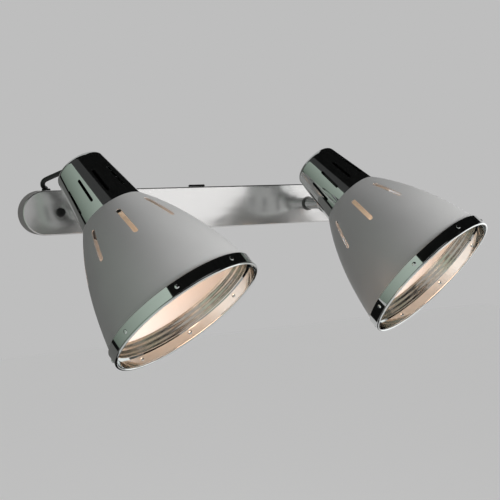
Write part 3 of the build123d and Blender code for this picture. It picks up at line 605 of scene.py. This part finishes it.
LEFT_STANCE = Stance(Side.LEFT, 34.0, 25.0, 0.0, (-0.125, -0.0565, 0.0))
RIGHT_STANCE = Stance(Side.RIGHT, 41.0, 28.0, -21.0, (0.125, -0.0565, 0.0))


# ---------------------------------------------------------------- bar


@dataclass
class Bar:
    """The pressed cover, and what shows on it. Sizes in millimetres."""

    wardrobe: Wardrobe
    nodes: Nodes
    length: float = 364.0
    height: float = 42.0
    depth: float = 22.0
    wall: float = 1.2
    edge_radius: float = 1.3
    screw_spacing: float = 294.0
    screw_hole: float = 2.4
    pivot_spacing: float = 250.0
    stem_hole: float = 5.08
    grommet_x: float = 157.0
    grommet_y: float = -11.0
    grommet_hole: float = 3.3
    grommet_cut: float = 6.0
    blank_hole: Span = (14.8, 3.0)
    blank_y: float = -7.0
    facets: int = 192
    edge_spans: int = 10
    front_on_y: Matrix = field(default_factory=lambda: Matrix.Rotation(math.radians(90), 4, "X"))

    def cover_shell(self) -> bpy.types.Object:
        """Make the stadium-shaped pan with its rolled front edge.

        Returns:
            The shell without its holes.
        """
        mesh = bmesh.new()
        half_facet = Matrix.Rotation(math.pi / self.facets, 4, "Z")
        made = bmesh.ops.create_circle(
            mesh, cap_ends=True, segments=self.facets, radius=self.height / 2, matrix=half_facet
        )["verts"]
        half = (self.length - self.height) / 2
        for end in (1, -1):
            bmesh.ops.translate(mesh, verts=[v for v in made if v.co.x * end > 0], vec=(half * end, 0, 0))
        back = list(mesh.faces)
        grown = bmesh.ops.extrude_face_region(mesh, geom=back)["geom"]
        front = [part for part in grown if isinstance(part, bmesh.types.BMVert)]
        bmesh.ops.translate(mesh, verts=front, vec=(0, 0, self.depth))
        rim = [edge for edge in mesh.edges if all(abs(v.co.z - self.depth) < SAME for v in edge.verts)]
        bmesh.ops.bevel(
            mesh,
            geom=rim,
            offset=self.edge_radius,
            segments=self.edge_spans,
            profile=0.5,
            affect="EDGES",
            material=-1,
        )
        open_back = [face for face in mesh.faces if all(abs(v.co.z) < SAME for v in face.verts)]
        bmesh.ops.delete(mesh, geom=open_back, context="FACES_ONLY")
        bmesh.ops.recalc_face_normals(mesh, faces=mesh.faces)
        cover = as_object("bar_cover", mesh, self.front_on_y)
        thick = cover.modifiers.new("sheet", "SOLIDIFY")
        thick.thickness = self.wall * MM
        thick.offset = -1.0
        thick.use_even_offset = True
        settle(cover)
        return cover

    def holes(self) -> bmesh.types.BMesh:
        """Make the cutting tools of the cover's holes."""
        tools = bmesh.new()
        inside = 3 * self.wall
        in_front = ((self.screw_spacing / 2, self.screw_hole), (self.pivot_spacing / 2, self.stem_hole))
        for side in (-1, 1):
            for x, radius in in_front:
                start = Vector((side * x, -self.depth - PAST, 0))
                round_tool(start, Vector((side * x, -self.depth + inside, 0)), radius, tools)
            foot = Vector((side * self.grommet_x, self.grommet_y, self.height / 2 - inside))
            head = foot + Vector((0, 0, self.grommet_cut))
            round_tool(foot, head, self.grommet_hole, tools, SMALL_HOLE_FACETS)
        stand = Matrix.Translation((0, self.blank_y, 0)) @ Matrix.Rotation(math.radians(-90), 4, "Y")
        reach = (self.height / 2 - inside, self.height / 2 + PAST)
        oblong_tool(*self.blank_hole, reach, stand, tools)
        return tools

    def build(self) -> None:
        """Make the cover, and ease the edges of the small pieces on the bar."""
        cover = self.cover_shell()
        cut_away(cover, self.holes(), Matrix.Identity(4))
        stand_for(dress(cover, self.wardrobe.get("bar")), "bar", "satin_nickel", "cover")
        for node, finish, slot, width in (
            ("cover_screws", "oxide", "black_screws", 0.15),
            ("entry_blank", "rubber", "black_rubber", 0.3),
            ("left_cover_grommet", "rubber", "black_rubber", 0.2),
            ("right_cover_grommet", "rubber", "black_rubber", 0.2),
            ("wall_bracket", "zinc", "plated_steel", 0.2),
        ):
            made = eased_copy(self.nodes[node], f"{node}_eased", width)
            stand_for(dress(made, self.wardrobe.get(finish)), "bar", slot, node)


# ---------------------------------------------------------------- lamp


@dataclass
class Neck:
    """The chrome cup on top of the shade, open in a row of slots. Sizes in millimetres."""

    stance: Stance
    wardrobe: Wardrobe
    top_radius: float = 22.8
    mouth_radius: float = 30.2
    length: float = 56.6
    wall: float = 1.0
    corner: float = 5.0
    stem_hole: float = 5.05
    bush_offset: float = 11.5
    bush_hole: float = 3.3
    slots: int = 11
    slot_start: float = 21.8
    slot_end: float = 46.6
    slot_width: float = 2.6
    slot_phase: float = -90.0
    slot_cut: Span = (20.0, 36.0)
    knuckle_cut: Span = (20.0, 32.0)
    bush_cut: Span = (-3.0, 2.0)
    lip: float = 0.35
    corner_steps: int = 12

    def flank(self, inset: float) -> list[Point]:
        """Trace one side of the cup's wall, from its top's hole to its mouth.

        Args:
            inset: how far the line lies inside the outer face.

        Returns:
            Profile points.
        """
        slope = (self.mouth_radius - self.top_radius) / self.length
        lean = math.degrees(math.atan(slope))
        corner = self.corner - inset
        side = self.top_radius + slope * inset - inset
        rise = corner * math.tan(math.radians(90 - lean) / 2)
        centre = (side + slope * rise - corner / math.cos(math.radians(lean)), inset + corner)
        bend = arc(centre, corner, 90, lean, self.corner_steps)
        return [(self.stem_hole, inset), *bend, (self.mouth_radius - inset, self.length)]

    def build(self) -> None:
        """Spin the cup, and cut its slots and holes."""
        outer, inner = self.flank(0.0), self.flank(self.wall)
        mouth = [
            (self.mouth_radius, self.length - self.lip),
            (self.mouth_radius - self.lip, self.length),
            (self.mouth_radius - self.wall + self.lip / 2, self.length),
        ]
        place = self.stance.on_axis()
        section = spun([*outer[:-1], *mouth, *reversed(inner)])
        cup = as_object(self.stance.name("neck_cup_turned"), section, place)
        tools = bmesh.new()
        slots = (self.slot_start, self.slot_end)
        oblong_row(self.slots, self.slot_phase, slots, self.slot_width, self.slot_cut, tools)
        start, end = (Vector((0, across, -self.stance.neck_rise)) for across in self.knuckle_cut)
        round_tool(start, end, self.stem_hole, tools)
        cut_away(cup, tools, place)
        bush = bmesh.new()
        start, end = (Vector((0, self.bush_offset, height)) for height in self.bush_cut)
        round_tool(start, end, self.bush_hole, bush)
        cut_away(cup, bush, place)
        dress(cup, self.wardrobe.get("chrome"))
        stand_for(cup, self.stance.name("lamp"), "polished_chrome", self.stance.name("neck_cup"))


@dataclass
class Shade:
    """The satin bell, with slits round its shoulder. Sizes in millimetres."""

    stance: Stance
    wardrobe: Wardrobe
    start: float = 56.6
    end: float = 157.8
    wall: float = 1.0
    control_radii: tuple[float, float, float, float] = (31.0, 53.0, 62.1, 68.7)
    collar_hole: float = 20.4
    collar_round: float = 0.45
    collar_arc: tuple[float, float, int] = (90.0, 20.0, 5)
    collar_flare: float = 0.15
    collar_drop: float = 1.2
    collar_inset: float = 1.1
    slits: int = 9
    slit_start: float = 70.2
    slit_end: float = 101.4
    slit_width: float = 4.2
    slit_phase: float = -100.0
    slit_cut: Span = (34.0, 66.0)
    spans: int = 48

    def radius(self, distance: float) -> float:
        """Give the flank's outer radius at a distance from the neck's top."""
        share = (distance - self.start) / (self.end - self.start)
        rest = 1 - share
        first, second, third, fourth = self.control_radii
        curve = rest**3 * first + 3 * rest**2 * share * second
        return curve + 3 * rest * share**2 * third + share**3 * fourth

    def offset(self, distance: float, inset: float) -> Point:
        """Give the point that lies inside the flank by an inset, square to it."""
        step = 0.05
        slope = (self.radius(distance + step) - self.radius(distance - step)) / (2 * step)
        size = math.hypot(1, slope)
        return self.radius(distance) - inset / size, distance + inset * slope / size

    def profile(self) -> list[Point]:
        """Trace the sheet: the collar's top, the flank, and back along the inside."""
        turned = self.collar_round
        first, run = self.start + self.collar_drop, self.end - self.start - self.collar_drop
        stations = [first + run * step / self.spans for step in range(self.spans + 1)]
        outside = [(self.radius(station), station) for station in stations]
        inside = [self.offset(station, self.wall) for station in stations]
        inside[-1] = (inside[-1][0], self.end)
        centre = (self.control_radii[0] - turned + self.collar_flare, self.start + turned)
        corner = arc(centre, turned, *self.collar_arc)
        inner_collar = (self.control_radii[0] - self.collar_inset, self.start + self.wall)
        head = [(self.collar_hole, self.start + self.wall), (self.collar_hole, self.start)]
        return [*head, *corner, *outside, *reversed(inside), inner_collar]

    def build(self) -> None:
        """Spin the bell and cut its slits."""
        place = self.stance.on_axis()
        sheet = spun(self.profile(), steps=LARGE_SPUN_FACETS)
        bell = as_object(self.stance.name("shade_spun"), sheet, place)
        tools = bmesh.new()
        phase = self.slit_phase + self.stance.shade_turn
        slits = (self.slit_start, self.slit_end)
        oblong_row(self.slits, phase, slits, self.slit_width, self.slit_cut, tools)
        cut_away(bell, tools, place)
        dress(bell, self.wardrobe.get("satin"))
        stand_for(bell, self.stance.name("lamp"), "satin_nickel", self.stance.name("shade"))


@dataclass
class MouthRing:
    """The chrome ring with its rolled bead, its web, its sleeve and its rivets. Sizes in millimetres."""

    stance: Stance
    wardrobe: Wardrobe
    shade: Shade
    band_radius: float = 70.4
    band_wall: float = 1.4
    depth: float = 11.8
    edge_break: float = 0.3
    bead: float = 1.2
    bead_steps: int = 28
    web: float = 1.0
    sleeve_length: float = 12.0
    sleeve_wall: float = 0.9
    sleeve_gap: float = 0.06
    sleeve_steps: int = 24
    sleeve_back_steps: int = 8
    sleeve_faces: int = 1
    ridges: int = 3
    ridge_height: float = 0.14
    rivets: int = 8
    rivet_phase: float = -57.0
    rivet_depth: float = 4.8
    rivet_radius: float = 1.9
    rivet_height: float = 0.7
    rivet_swell: float = 1.25
    rivet_sunk: float = 0.1

    def sleeve_line(self, distance: float, inset: float) -> Point:
        """Give a point of the sleeve, which lies just inside the shade's wall."""
        radius, _ = self.shade.offset(distance, self.shade.wall + self.sleeve_gap + inset)
        return radius, distance

    def profile(self) -> list[Point]:
        """Trace the ring's section."""
        back = self.shade.end
        middle = self.band_radius - self.band_wall / 2
        centre = (middle, back + self.depth - self.bead)
        lean = math.degrees(math.asin(self.band_wall / 2 / self.bead))
        bead = arc(centre, self.bead, 90 - lean, -270 + lean, self.bead_steps)
        band_inner = self.band_radius - self.band_wall
        web_front = back + self.web
        inner = []
        for step in range(self.sleeve_steps + 1):
            share = step / self.sleeve_steps
            distance = web_front - share * (self.sleeve_length + self.web)
            wave = math.sin(share * math.pi * self.ridges) ** 2
            radius, _ = self.sleeve_line(min(distance, back), self.sleeve_wall + self.ridge_height * wave)
            inner.append((radius, distance))
        start = back - self.sleeve_length
        spans = self.sleeve_back_steps
        along = [start + step * self.sleeve_length / spans for step in range(spans + 1)]
        outer = [self.sleeve_line(distance, 0.0) for distance in along]
        edge = [(self.band_radius - self.edge_break, back), (self.band_radius, back + self.edge_break)]
        return [*edge, *bead, (band_inner, web_front), *inner, *outer]

    def rivet_mesh(self) -> bmesh.types.BMesh:
        """Make the rivets' low round heads, outside and inside the band."""
        mesh = bmesh.new()
        seats = ((Way.OUTWARD, self.band_radius), (Way.INWARD, self.band_radius - self.band_wall))
        tall = self.rivet_height * self.rivet_swell
        flat = Matrix.Diagonal((tall, self.rivet_radius, self.rivet_radius, 1))
        head = flat @ Matrix.Rotation(math.radians(90), 4, "Y")
        for count in range(self.rivets):
            angle = math.radians(self.rivet_phase + self.stance.shade_turn + 360 * count / self.rivets)
            for way, seat in seats:
                sunk = seat - way.value * self.rivet_sunk
                place = Matrix.Rotation(angle, 4, "Z")
                place = place @ Matrix.Translation((sunk, 0, -self.shade.end - self.rivet_depth))
                bmesh.ops.create_uvsphere(mesh, u_segments=24, v_segments=12, radius=1.0, matrix=place @ head)
        bmesh.ops.recalc_face_normals(mesh, faces=mesh.faces)
        return mesh

    def build(self) -> None:
        """Spin the ring and set its rivets."""
        chrome = self.wardrobe.get("chrome")
        body = self.stance.name("lamp")
        place = self.stance.on_axis()
        section = spun(self.profile(), steps=LARGE_SPUN_FACETS)
        ring = as_object(self.stance.name("mouth_ring_rolled"), section, place)
        stand_for(dress(ring, chrome), body, "polished_chrome", self.stance.name("mouth_ring"))
        ring.data.materials.append(self.wardrobe.get("sleeve"))
        lamp = place.inverted()
        for polygon in ring.data.polygons:
            if -(lamp @ polygon.center).z < (self.shade.end + self.web / 2) * MM:
                polygon.material_index = self.sleeve_faces
        rivets = as_object(self.stance.name("ring_rivets_domed"), self.rivet_mesh(), place)
        stand_for(dress(rivets, chrome), body, "polished_chrome", self.stance.name("ring_rivets"))


@dataclass
class Bulb:
    """The opal lamp in its holder. Sizes in millimetres."""

    stance: Stance
    wardrobe: Wardrobe
    neck_radius: float = 12.8
    seat: float = 54.0
    cap_end: float = 62.0
    flare_start: float = 18.0
    flare_end: float = 22.0
    ball: float = 30.0
    tip: float = 141.5
    lit_start: float = 98.0
    flare_steps: int = 24
    crown_steps: int = 20
    facets: int = 96

    def profile(self) -> list[Point]:
        """Trace the glass from its neck to its tip."""
        centre = self.tip - self.ball
        handles = [
            Vector((self.neck_radius, self.cap_end)),
            Vector((self.neck_radius, self.cap_end + self.flare_start)),
            Vector((self.ball, centre - self.flare_end)),
            Vector((self.ball, centre)),
        ]
        flare = []
        for step in range(self.flare_steps + 1):
            share = step / self.flare_steps
            rest = 1 - share
            weights = (rest**3, 3 * rest**2 * share, 3 * rest * share**2, share**3)
            point = sum((w * h for w, h in zip(weights, handles)), Vector((0.0, 0.0)))
            flare.append((point.x, point.y))
        crown = arc((0.0, centre), self.ball, 0, -90, self.crown_steps)
        return [(self.neck_radius, self.seat), *flare, *crown[1:-1], (0.0, self.tip)]

    def build(self) -> None:
        """Spin the glass, and mark how brightly each part of it is lit from inside."""
        mesh = spun(self.profile(), closed=False, steps=self.facets)
        lit = mesh.verts.layers.float.new("lit")
        for vert in mesh.verts:
            share = (-vert.co.z - self.lit_start) / (self.tip - self.ball - self.lit_start)
            vert[lit] = min(max(share, 0.0), 1.0)
        glass = as_object(self.stance.name("bulb_glass_blown"), mesh, self.stance.on_axis())
        body = self.stance.name("lamp")
        stand_for(dress(glass, self.wardrobe.get("opal")), body, "lamp_glass", self.stance.name("bulb_glass"))


@dataclass(frozen=True)
class LeadRoute:
    """Where a lead goes, in millimetres.

    Attributes:
        exit_run: how far it runs straight out of the neck's bush.
        points: where it goes from there, with x from the stem's axis. The last is in the bar's grommet.
    """

    exit_run: float
    points: tuple[Spot, ...]


LEFT_ROUTE = LeadRoute(
    exit_run=7.0,
    points=(
        (-20.9, -42.0, 38.9),
        (-26.2, -34.0, 35.8),
        (-32.1, -27.5, 32.9),
        (-37.3, -20.5, 29.8),
        (-35.8, -14.0, 24.1),
        (-32.0, -11.0, 22.8),
    ),
)
RIGHT_ROUTE = LeadRoute(
    exit_run=4.5,
    points=(
        (-12.1, -49.5, 42.3),
        (-2.4, -40.5, 44.5),
        (7.7, -32.5, 43.9),
        (17.6, -25.0, 41.0),
        (27.8, -17.6, 36.0),
        (32.0, -11.0, 29.8),
        (32.0, -11.0, 22.8),
    ),
)


@dataclass
class Lead:
    """The looping stretch of a lead, from the neck's bush to the bar's grommet. Sizes in millimetres."""

    stance: Stance
    wardrobe: Wardrobe
    route: LeadRoute
    radius: float = 2.2
    bush_offset: float = 11.5
    bush_height: float = 1.8

    def control_points(self) -> list[Vector]:
        """Give the points that shape the lead, in metres, from the neck to the bar."""
        lamp = self.stance.on_axis()
        start = lamp @ (Vector((0, self.bush_offset, self.bush_height)) * MM)
        leave = lamp @ (Vector((0, self.bush_offset, self.bush_height + self.route.exit_run)) * MM)
        stem = Vector((self.stance.knuckle[0], 0, 0))
        return [start, leave, *(stem + Vector(point) * MM for point in self.route.points)]

    def line(self, bevel: float) -> bpy.types.Mesh:
        """Draw the lead's smooth line.

        Args:
            bevel: the tube's radius in metres, or 0 for its centre line.

        Returns:
            A mesh of the line or of the tube.
        """
        curve = bpy.data.curves.new("lead_line", "CURVE")
        curve.dimensions = "3D"
        curve.resolution_u = 16
        curve.bevel_depth = bevel
        curve.bevel_resolution = 8
        curve.use_fill_caps = True
        points = self.control_points()
        spline = curve.splines.new("NURBS")
        spline.points.add(len(points) - 1)
        for point, place in zip(spline.points, points):
            point.co = (*place, 1.0)
        spline.order_u = 3
        spline.use_endpoint_u = True
        holder = linked("lead_line", curve)
        bpy.context.view_layer.update()
        graph = bpy.context.evaluated_depsgraph_get()
        mesh = bpy.data.meshes.new_from_object(holder.evaluated_get(graph))
        bpy.data.objects.remove(holder)
        return mesh

    def half(self, tube: bpy.types.Mesh, cut: Vector, along: Vector, name: str) -> bpy.types.Object:
        """Keep the part of the tube that lies before a cut.

        Args:
            tube: the whole tube.
            cut: a point of the cut.
            along: the way that is taken off.
            name: the piece's name.

        Returns:
            The piece.
        """
        mesh = bmesh.new()
        mesh.from_mesh(tube)
        bmesh.ops.remove_doubles(mesh, verts=mesh.verts, dist=1e-6)
        geom = [*mesh.verts, *mesh.edges, *mesh.faces]
        bmesh.ops.bisect_plane(mesh, geom=geom, plane_co=cut, plane_no=along, clear_outer=True, dist=1e-7)
        bmesh.ops.recalc_face_normals(mesh, faces=mesh.faces)
        return as_object(name, mesh, Matrix.Scale(1 / MM, 4))

    def build(self) -> None:
        """Make the lead as two halves, cut at its middle: one nearer the lamp, and one nearer the bar."""
        centre = [v.co.copy() for v in self.line(0.0).vertices]
        at = len(centre) // 2
        cut, along = centre[at], (centre[at + 1] - centre[at]).normalized()
        tube = self.line(self.radius * MM)
        near_lamp = self.half(tube, cut, along, self.stance.name("lead_upper"))
        near_bar = self.half(tube, cut, -along, self.stance.name("lead_lower"))
        stem, lamp = self.stance.name("swivel"), self.stance.name("lamp")
        for piece in (near_lamp, near_bar):
            dress(piece, self.wardrobe.get("sheath"), sharp=60)
        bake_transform(near_lamp)
        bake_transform(near_bar)
        for piece in (near_lamp, near_bar):
            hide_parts(self.stance.name("lead"))
            LOG.info("%s bends with the joints", piece.name)


@dataclass
class Lamp:
    """One spotlight with its stem, and the pieces that keep their CAD shape with eased edges."""

    stance: Stance
    wardrobe: Wardrobe
    nodes: Nodes
    lead: Lead

    def small_pieces(self) -> None:
        """Ease the edges of the stem, the knuckle and the holder."""
        for piece, body, finish, slot, width in (
            ("swivel_stem", "swivel", "chrome", "polished_chrome", 0.3),
            # The stem washer's mid grey is painted shade, for the shadow where the stem meets the bar.
            ("stem_washer", "swivel", "shade_greyed_nylon", "white_plastic", 0.1),
            ("knuckle_washer", "swivel", "nylon", "white_plastic", 0.1),
            ("knuckle_screw", "swivel", "zinc", "plated_steel", 0.15),
            ("neck_knuckle", "lamp", "chrome", "polished_chrome", 0.3),
            ("neck_bush", "lamp", "rubber", "black_rubber", 0.2),
            ("cap_nut", "lamp", "chrome", "polished_chrome", 0.2),
            ("holder_skirt", "lamp", "bakelite", "black_plastic", 0.3),
            ("holder_dome", "lamp", "bakelite", "black_plastic", 0.2),
            ("shade_ring", "lamp", "bakelite", "black_plastic", 0.15),
            ("bulb_cap", "lamp", "aluminium", "lamp_cap", 0.2),
        ):
            node = self.stance.name(piece)
            made = eased_copy(self.nodes[node], f"{node}_eased", width)
            stand_for(dress(made, self.wardrobe.get(finish)), self.stance.name(body), slot, node)

    def build(self) -> None:
        """Build every piece of the lamp."""
        shade = Shade(self.stance, self.wardrobe)
        for part in (
            Neck(self.stance, self.wardrobe),
            shade,
            MouthRing(self.stance, self.wardrobe, shade),
            Bulb(self.stance, self.wardrobe),
            self.lead,
        ):
            part.build()
        self.small_pieces()


# ---------------------------------------------------------------- what keeps its CAD shape

KEPT_FINISHES = {
    "screw_posts": "zinc",
    "stem_backplates": "zinc",
    "terminal_block": "nylon",
    "terminal_screws": "zinc",
    "earth_terminal": "brass",
    "cord_clamps": "nylon",
    "stem_spring_washer": "zinc",
    "stem_nut": "zinc",
    "neck_nut": "zinc",
    "screw_shell": "brass",
    "centre_contact": "brass",
    "holder_tail": "sheath",
    "bar_tail": "sheath",
}


def dress_kept(nodes: Nodes, wardrobe: Wardrobe) -> None:
    """Give the inner pieces, which keep their CAD shape, their finishes."""
    for name, node in nodes.items():
        own = name.removeprefix("left_").removeprefix("right_")
        if own in KEPT_FINISHES:
            node.data.materials.clear()
            node.data.materials.append(wardrobe.get(KEPT_FINISHES[own]))
            LOG.info("%s keeps its shape, in %s", name, KEPT_FINISHES[own])


# ---------------------------------------------------------------- studio


@dataclass
class Studio:
    """The floor, the lights, the world, the camera, and what hangs round the object for its polish to mirror.

    Attributes:
        wardrobe: the materials.
        floor_height: the floor's height, in metres.
        floor_size: half of its side, in millimetres.
        card_radius: how far the cloths and cards hang from the object, in millimetres.
        card_steps: spans in a card's height. It has three times as many round its width.
        light_distance: how far off the lights are, in metres.
        room: the even light of the world.
        backdrop: the world as the camera, polish and glass see it.
        floor_lift: what brings the floor to the backdrop's tone, as the same three see it.
        camera_place: the camera's place, in metres.
        pitch: how far it looks down, in radians.
        heading: how far it looks to the right, in radians.
        roll: how far it leans, in radians.
        lens: its focal length, in millimetres.
    """

    wardrobe: Wardrobe
    floor_height: float = -1.3
    floor_size: float = 6000.0
    card_radius: float = 1250.0
    card_steps: int = 12
    light_distance: float = 1.6
    room: str = "#7c7c7c"
    backdrop: str = "#bebebe"
    floor_lift: str = "#a6a6a6"
    camera_place: Spot = (-0.36045, -0.81116, 0.02108)
    pitch: float = 0.076
    heading: float = -0.482
    roll: float = -0.025
    lens: float = 61.2

    def camera(self) -> None:
        """Set up the camera where the photograph was taken from."""
        data = bpy.data.cameras.new("camera")
        data.lens = self.lens
        data.sensor_width = 36.0
        data.clip_start = 0.01
        data.clip_end = 30.0
        camera = linked("camera", data)
        level = Matrix(((1, 0, 0), (0, 0, -1), (0, 1, 0)))
        turn = Matrix.Rotation(self.roll, 3, "Z") @ Matrix.Rotation(self.pitch, 3, "X")
        turn = turn @ Matrix.Rotation(self.heading, 3, "Y") @ level
        right, down, forward = turn
        axes = Matrix((right, -down, -forward)).transposed()
        camera.matrix_world = Matrix.Translation(self.camera_place) @ axes.to_4x4()
        bpy.context.scene.camera = camera

    def floor(self) -> None:
        """Lay a plain pale floor well below the light."""
        mesh = bmesh.new()
        bmesh.ops.create_grid(mesh, x_segments=2, y_segments=2, size=self.floor_size)
        floor = as_object("floor", mesh, Matrix.Translation((0, 0, self.floor_height)))
        paper = self.wardrobe.get("paper")
        tree = paper.node_tree
        shader = next(node for node in tree.nodes if node.type == "BSDF_PRINCIPLED")
        shader.inputs["Emission Color"].default_value = linear(self.floor_lift)
        tree.links.new(self.straight_or_mirrored(tree), shader.inputs["Emission Strength"])
        dress(floor, paper)

    def straight_or_mirrored(self, tree: bpy.types.NodeTree) -> bpy.types.NodeSocket:
        """Give 1 for what the camera sees straight, in polish or through glass, and 0 for scattered light."""
        path = add_node(tree, "ShaderNodeLightPath").outputs
        pick = {"operation": "MAXIMUM"}
        turned = {0: path["Is Glossy Ray"], 1: path["Is Transmission Ray"]}
        clear = add_node(tree, "ShaderNodeMath", pick, turned).outputs[0]
        return add_node(tree, "ShaderNodeMath", pick, {0: path["Is Camera Ray"], 1: clear}).outputs[0]

    def hanging(self, name: str, finish: str, azimuths: Span, elevations: Span) -> None:
        """Hang a curved cloth or card round the object. Only its polish sees it.

        Args:
            name: its name.
            finish: a name in FINISHES.
            azimuths: its edges, in degrees from straight in front towards the right.
            elevations: its lower and upper edge, in degrees.
        """
        mesh = bmesh.new()
        low, high = (math.radians(turn) for turn in elevations)
        start, end = (math.radians(turn) for turn in azimuths)
        far = self.card_radius
        climb = [low + (high - low) * step / self.card_steps for step in range(self.card_steps + 1)]
        verts = [mesh.verts.new((0, -far * math.cos(turn), far * math.sin(turn))) for turn in climb]
        edges = [mesh.edges.new(pair) for pair in zip(verts, verts[1:])]
        bmesh.ops.rotate(mesh, verts=verts, cent=(0, 0, 0), matrix=Matrix.Rotation(start, 3, "Z"))
        bmesh.ops.spin(
            mesh,
            geom=verts + edges,
            cent=(0, 0, 0),
            axis=(0, 0, 1),
            angle=end - start,
            steps=3 * self.card_steps,
        )
        bmesh.ops.remove_doubles(mesh, verts=mesh.verts, dist=1e-3)
        lit = mesh.verts.layers.float.new("lit")
        for vert in mesh.verts:
            turn = math.atan2(vert.co.x, -vert.co.y) - start
            vert[lit] = min(max(turn / (end - start), 0.0), 1.0)
        card = as_object(name, mesh, Matrix.Identity(4))
        dress(card, self.wardrobe.get(finish))
        card.visible_camera = False
        card.visible_diffuse = False
        card.visible_transmission = False
        card.visible_shadow = False

    def soft_light(self, name: str, azimuths: Span, elevations: Span, level: float) -> bpy.types.Object:
        """Add a rectangular soft light that faces the object.

        Args:
            name: its name.
            azimuths: its edges, in degrees from straight in front towards the right.
            elevations: its lower and upper edge, in degrees.
            level: how bright it is, where white paper in even light is 1.

        Returns:
            The light.
        """
        data = bpy.data.lights.new(name, "AREA")
        data.shape = "RECTANGLE"
        reach = self.light_distance
        data.size, data.size_y = (
            2 * reach * math.tan(math.radians(end - start) / 2) for start, end in (azimuths, elevations)
        )
        data.energy = level * math.pi * data.size * data.size_y
        light = linked(name, data)
        around, up = (math.radians(sum(edges) / 2) for edges in (azimuths, elevations))
        face = Matrix.Rotation(around, 4, "Z") @ Matrix.Rotation(-up, 4, "X")
        face = face @ Matrix.Translation((0, -reach, 0)) @ Matrix.Rotation(math.radians(90), 4, "X")
        light.matrix_world = face
        light.visible_camera = False
        return light

    def world(self) -> None:
        """Fill the room with even light, and show a pale backdrop behind the object and in its polish."""
        world = bpy.data.worlds.new("studio")
        world.use_nodes = True
        tree = world.node_tree
        tree.nodes.clear()
        seen = self.straight_or_mirrored(tree)
        room, backdrop = (
            add_node(tree, "ShaderNodeBackground", inputs={"Color": linear(tone), "Strength": 1.0}).outputs[0]
            for tone in (self.room, self.backdrop)
        )
        mixed = add_node(tree, "ShaderNodeMixShader", inputs={0: seen, 1: room, 2: backdrop})
        add_node(tree, "ShaderNodeOutputWorld", inputs={"Surface": mixed.outputs[0]})
        bpy.context.scene.world = world

    def build(self) -> None:
        """Set up the whole studio."""
        self.camera()
        self.floor()
        self.world()
        for name, finish, azimuths, elevations in (
            ("cloth_over_right", "cloth", (-41.0, 150.0), (14.0, 90.0)),
            ("cloth_over_left", "cloth", (-133.0, -41.0), (58.0, 90.0)),
            ("cloth_low", "cloth", (128.0, 240.0), (-70.0, -38.0)),
            ("cloth_strip", "cloth", (-133.0, -124.0), (-38.0, 58.0)),
            ("dusk_left", "dusk", (-124.0, -41.0), (37.0, 58.0)),
            ("board_behind", "board", (-186.0, -133.0), (-38.0, 30.0)),
            ("card_left", "card", (-124.0, -41.0), (-38.0, 37.0)),
        ):
            self.hanging(name, finish, azimuths, elevations)
        for name, azimuths, elevations, level, mirrored in (
            ("front_light", (7.0, 40.0), (-8.0, 20.0), 0.7, True),
            ("right_light", (52.0, 112.0), (-34.0, 12.0), 0.9, True),
            ("key_light", (18.0, 58.0), (-18.0, 26.0), 6.9, False),
        ):
            self.soft_light(name, azimuths, elevations, level).visible_glossy = mirrored
        bpy.context.scene.view_settings.view_transform = "Standard"


def main() -> None:
    """Load the frame, build every piece in order and set the stage."""
    logging.basicConfig(level=logging.INFO, format="%(name)s: %(message)s", stream=sys.stdout)
    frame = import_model()
    nodes = frame["nodes"]
    wardrobe = Wardrobe()
    Studio(wardrobe).build()
    Bar(wardrobe, nodes).build()
    for stance, route in ((LEFT_STANCE, LEFT_ROUTE), (RIGHT_STANCE, RIGHT_ROUTE)):
        Lamp(stance, wardrobe, nodes, Lead(stance, wardrobe, route)).build()
    dress_kept(nodes, wardrobe)
    LOG.info("sizes written")


if __name__ == "__main__":
    main()
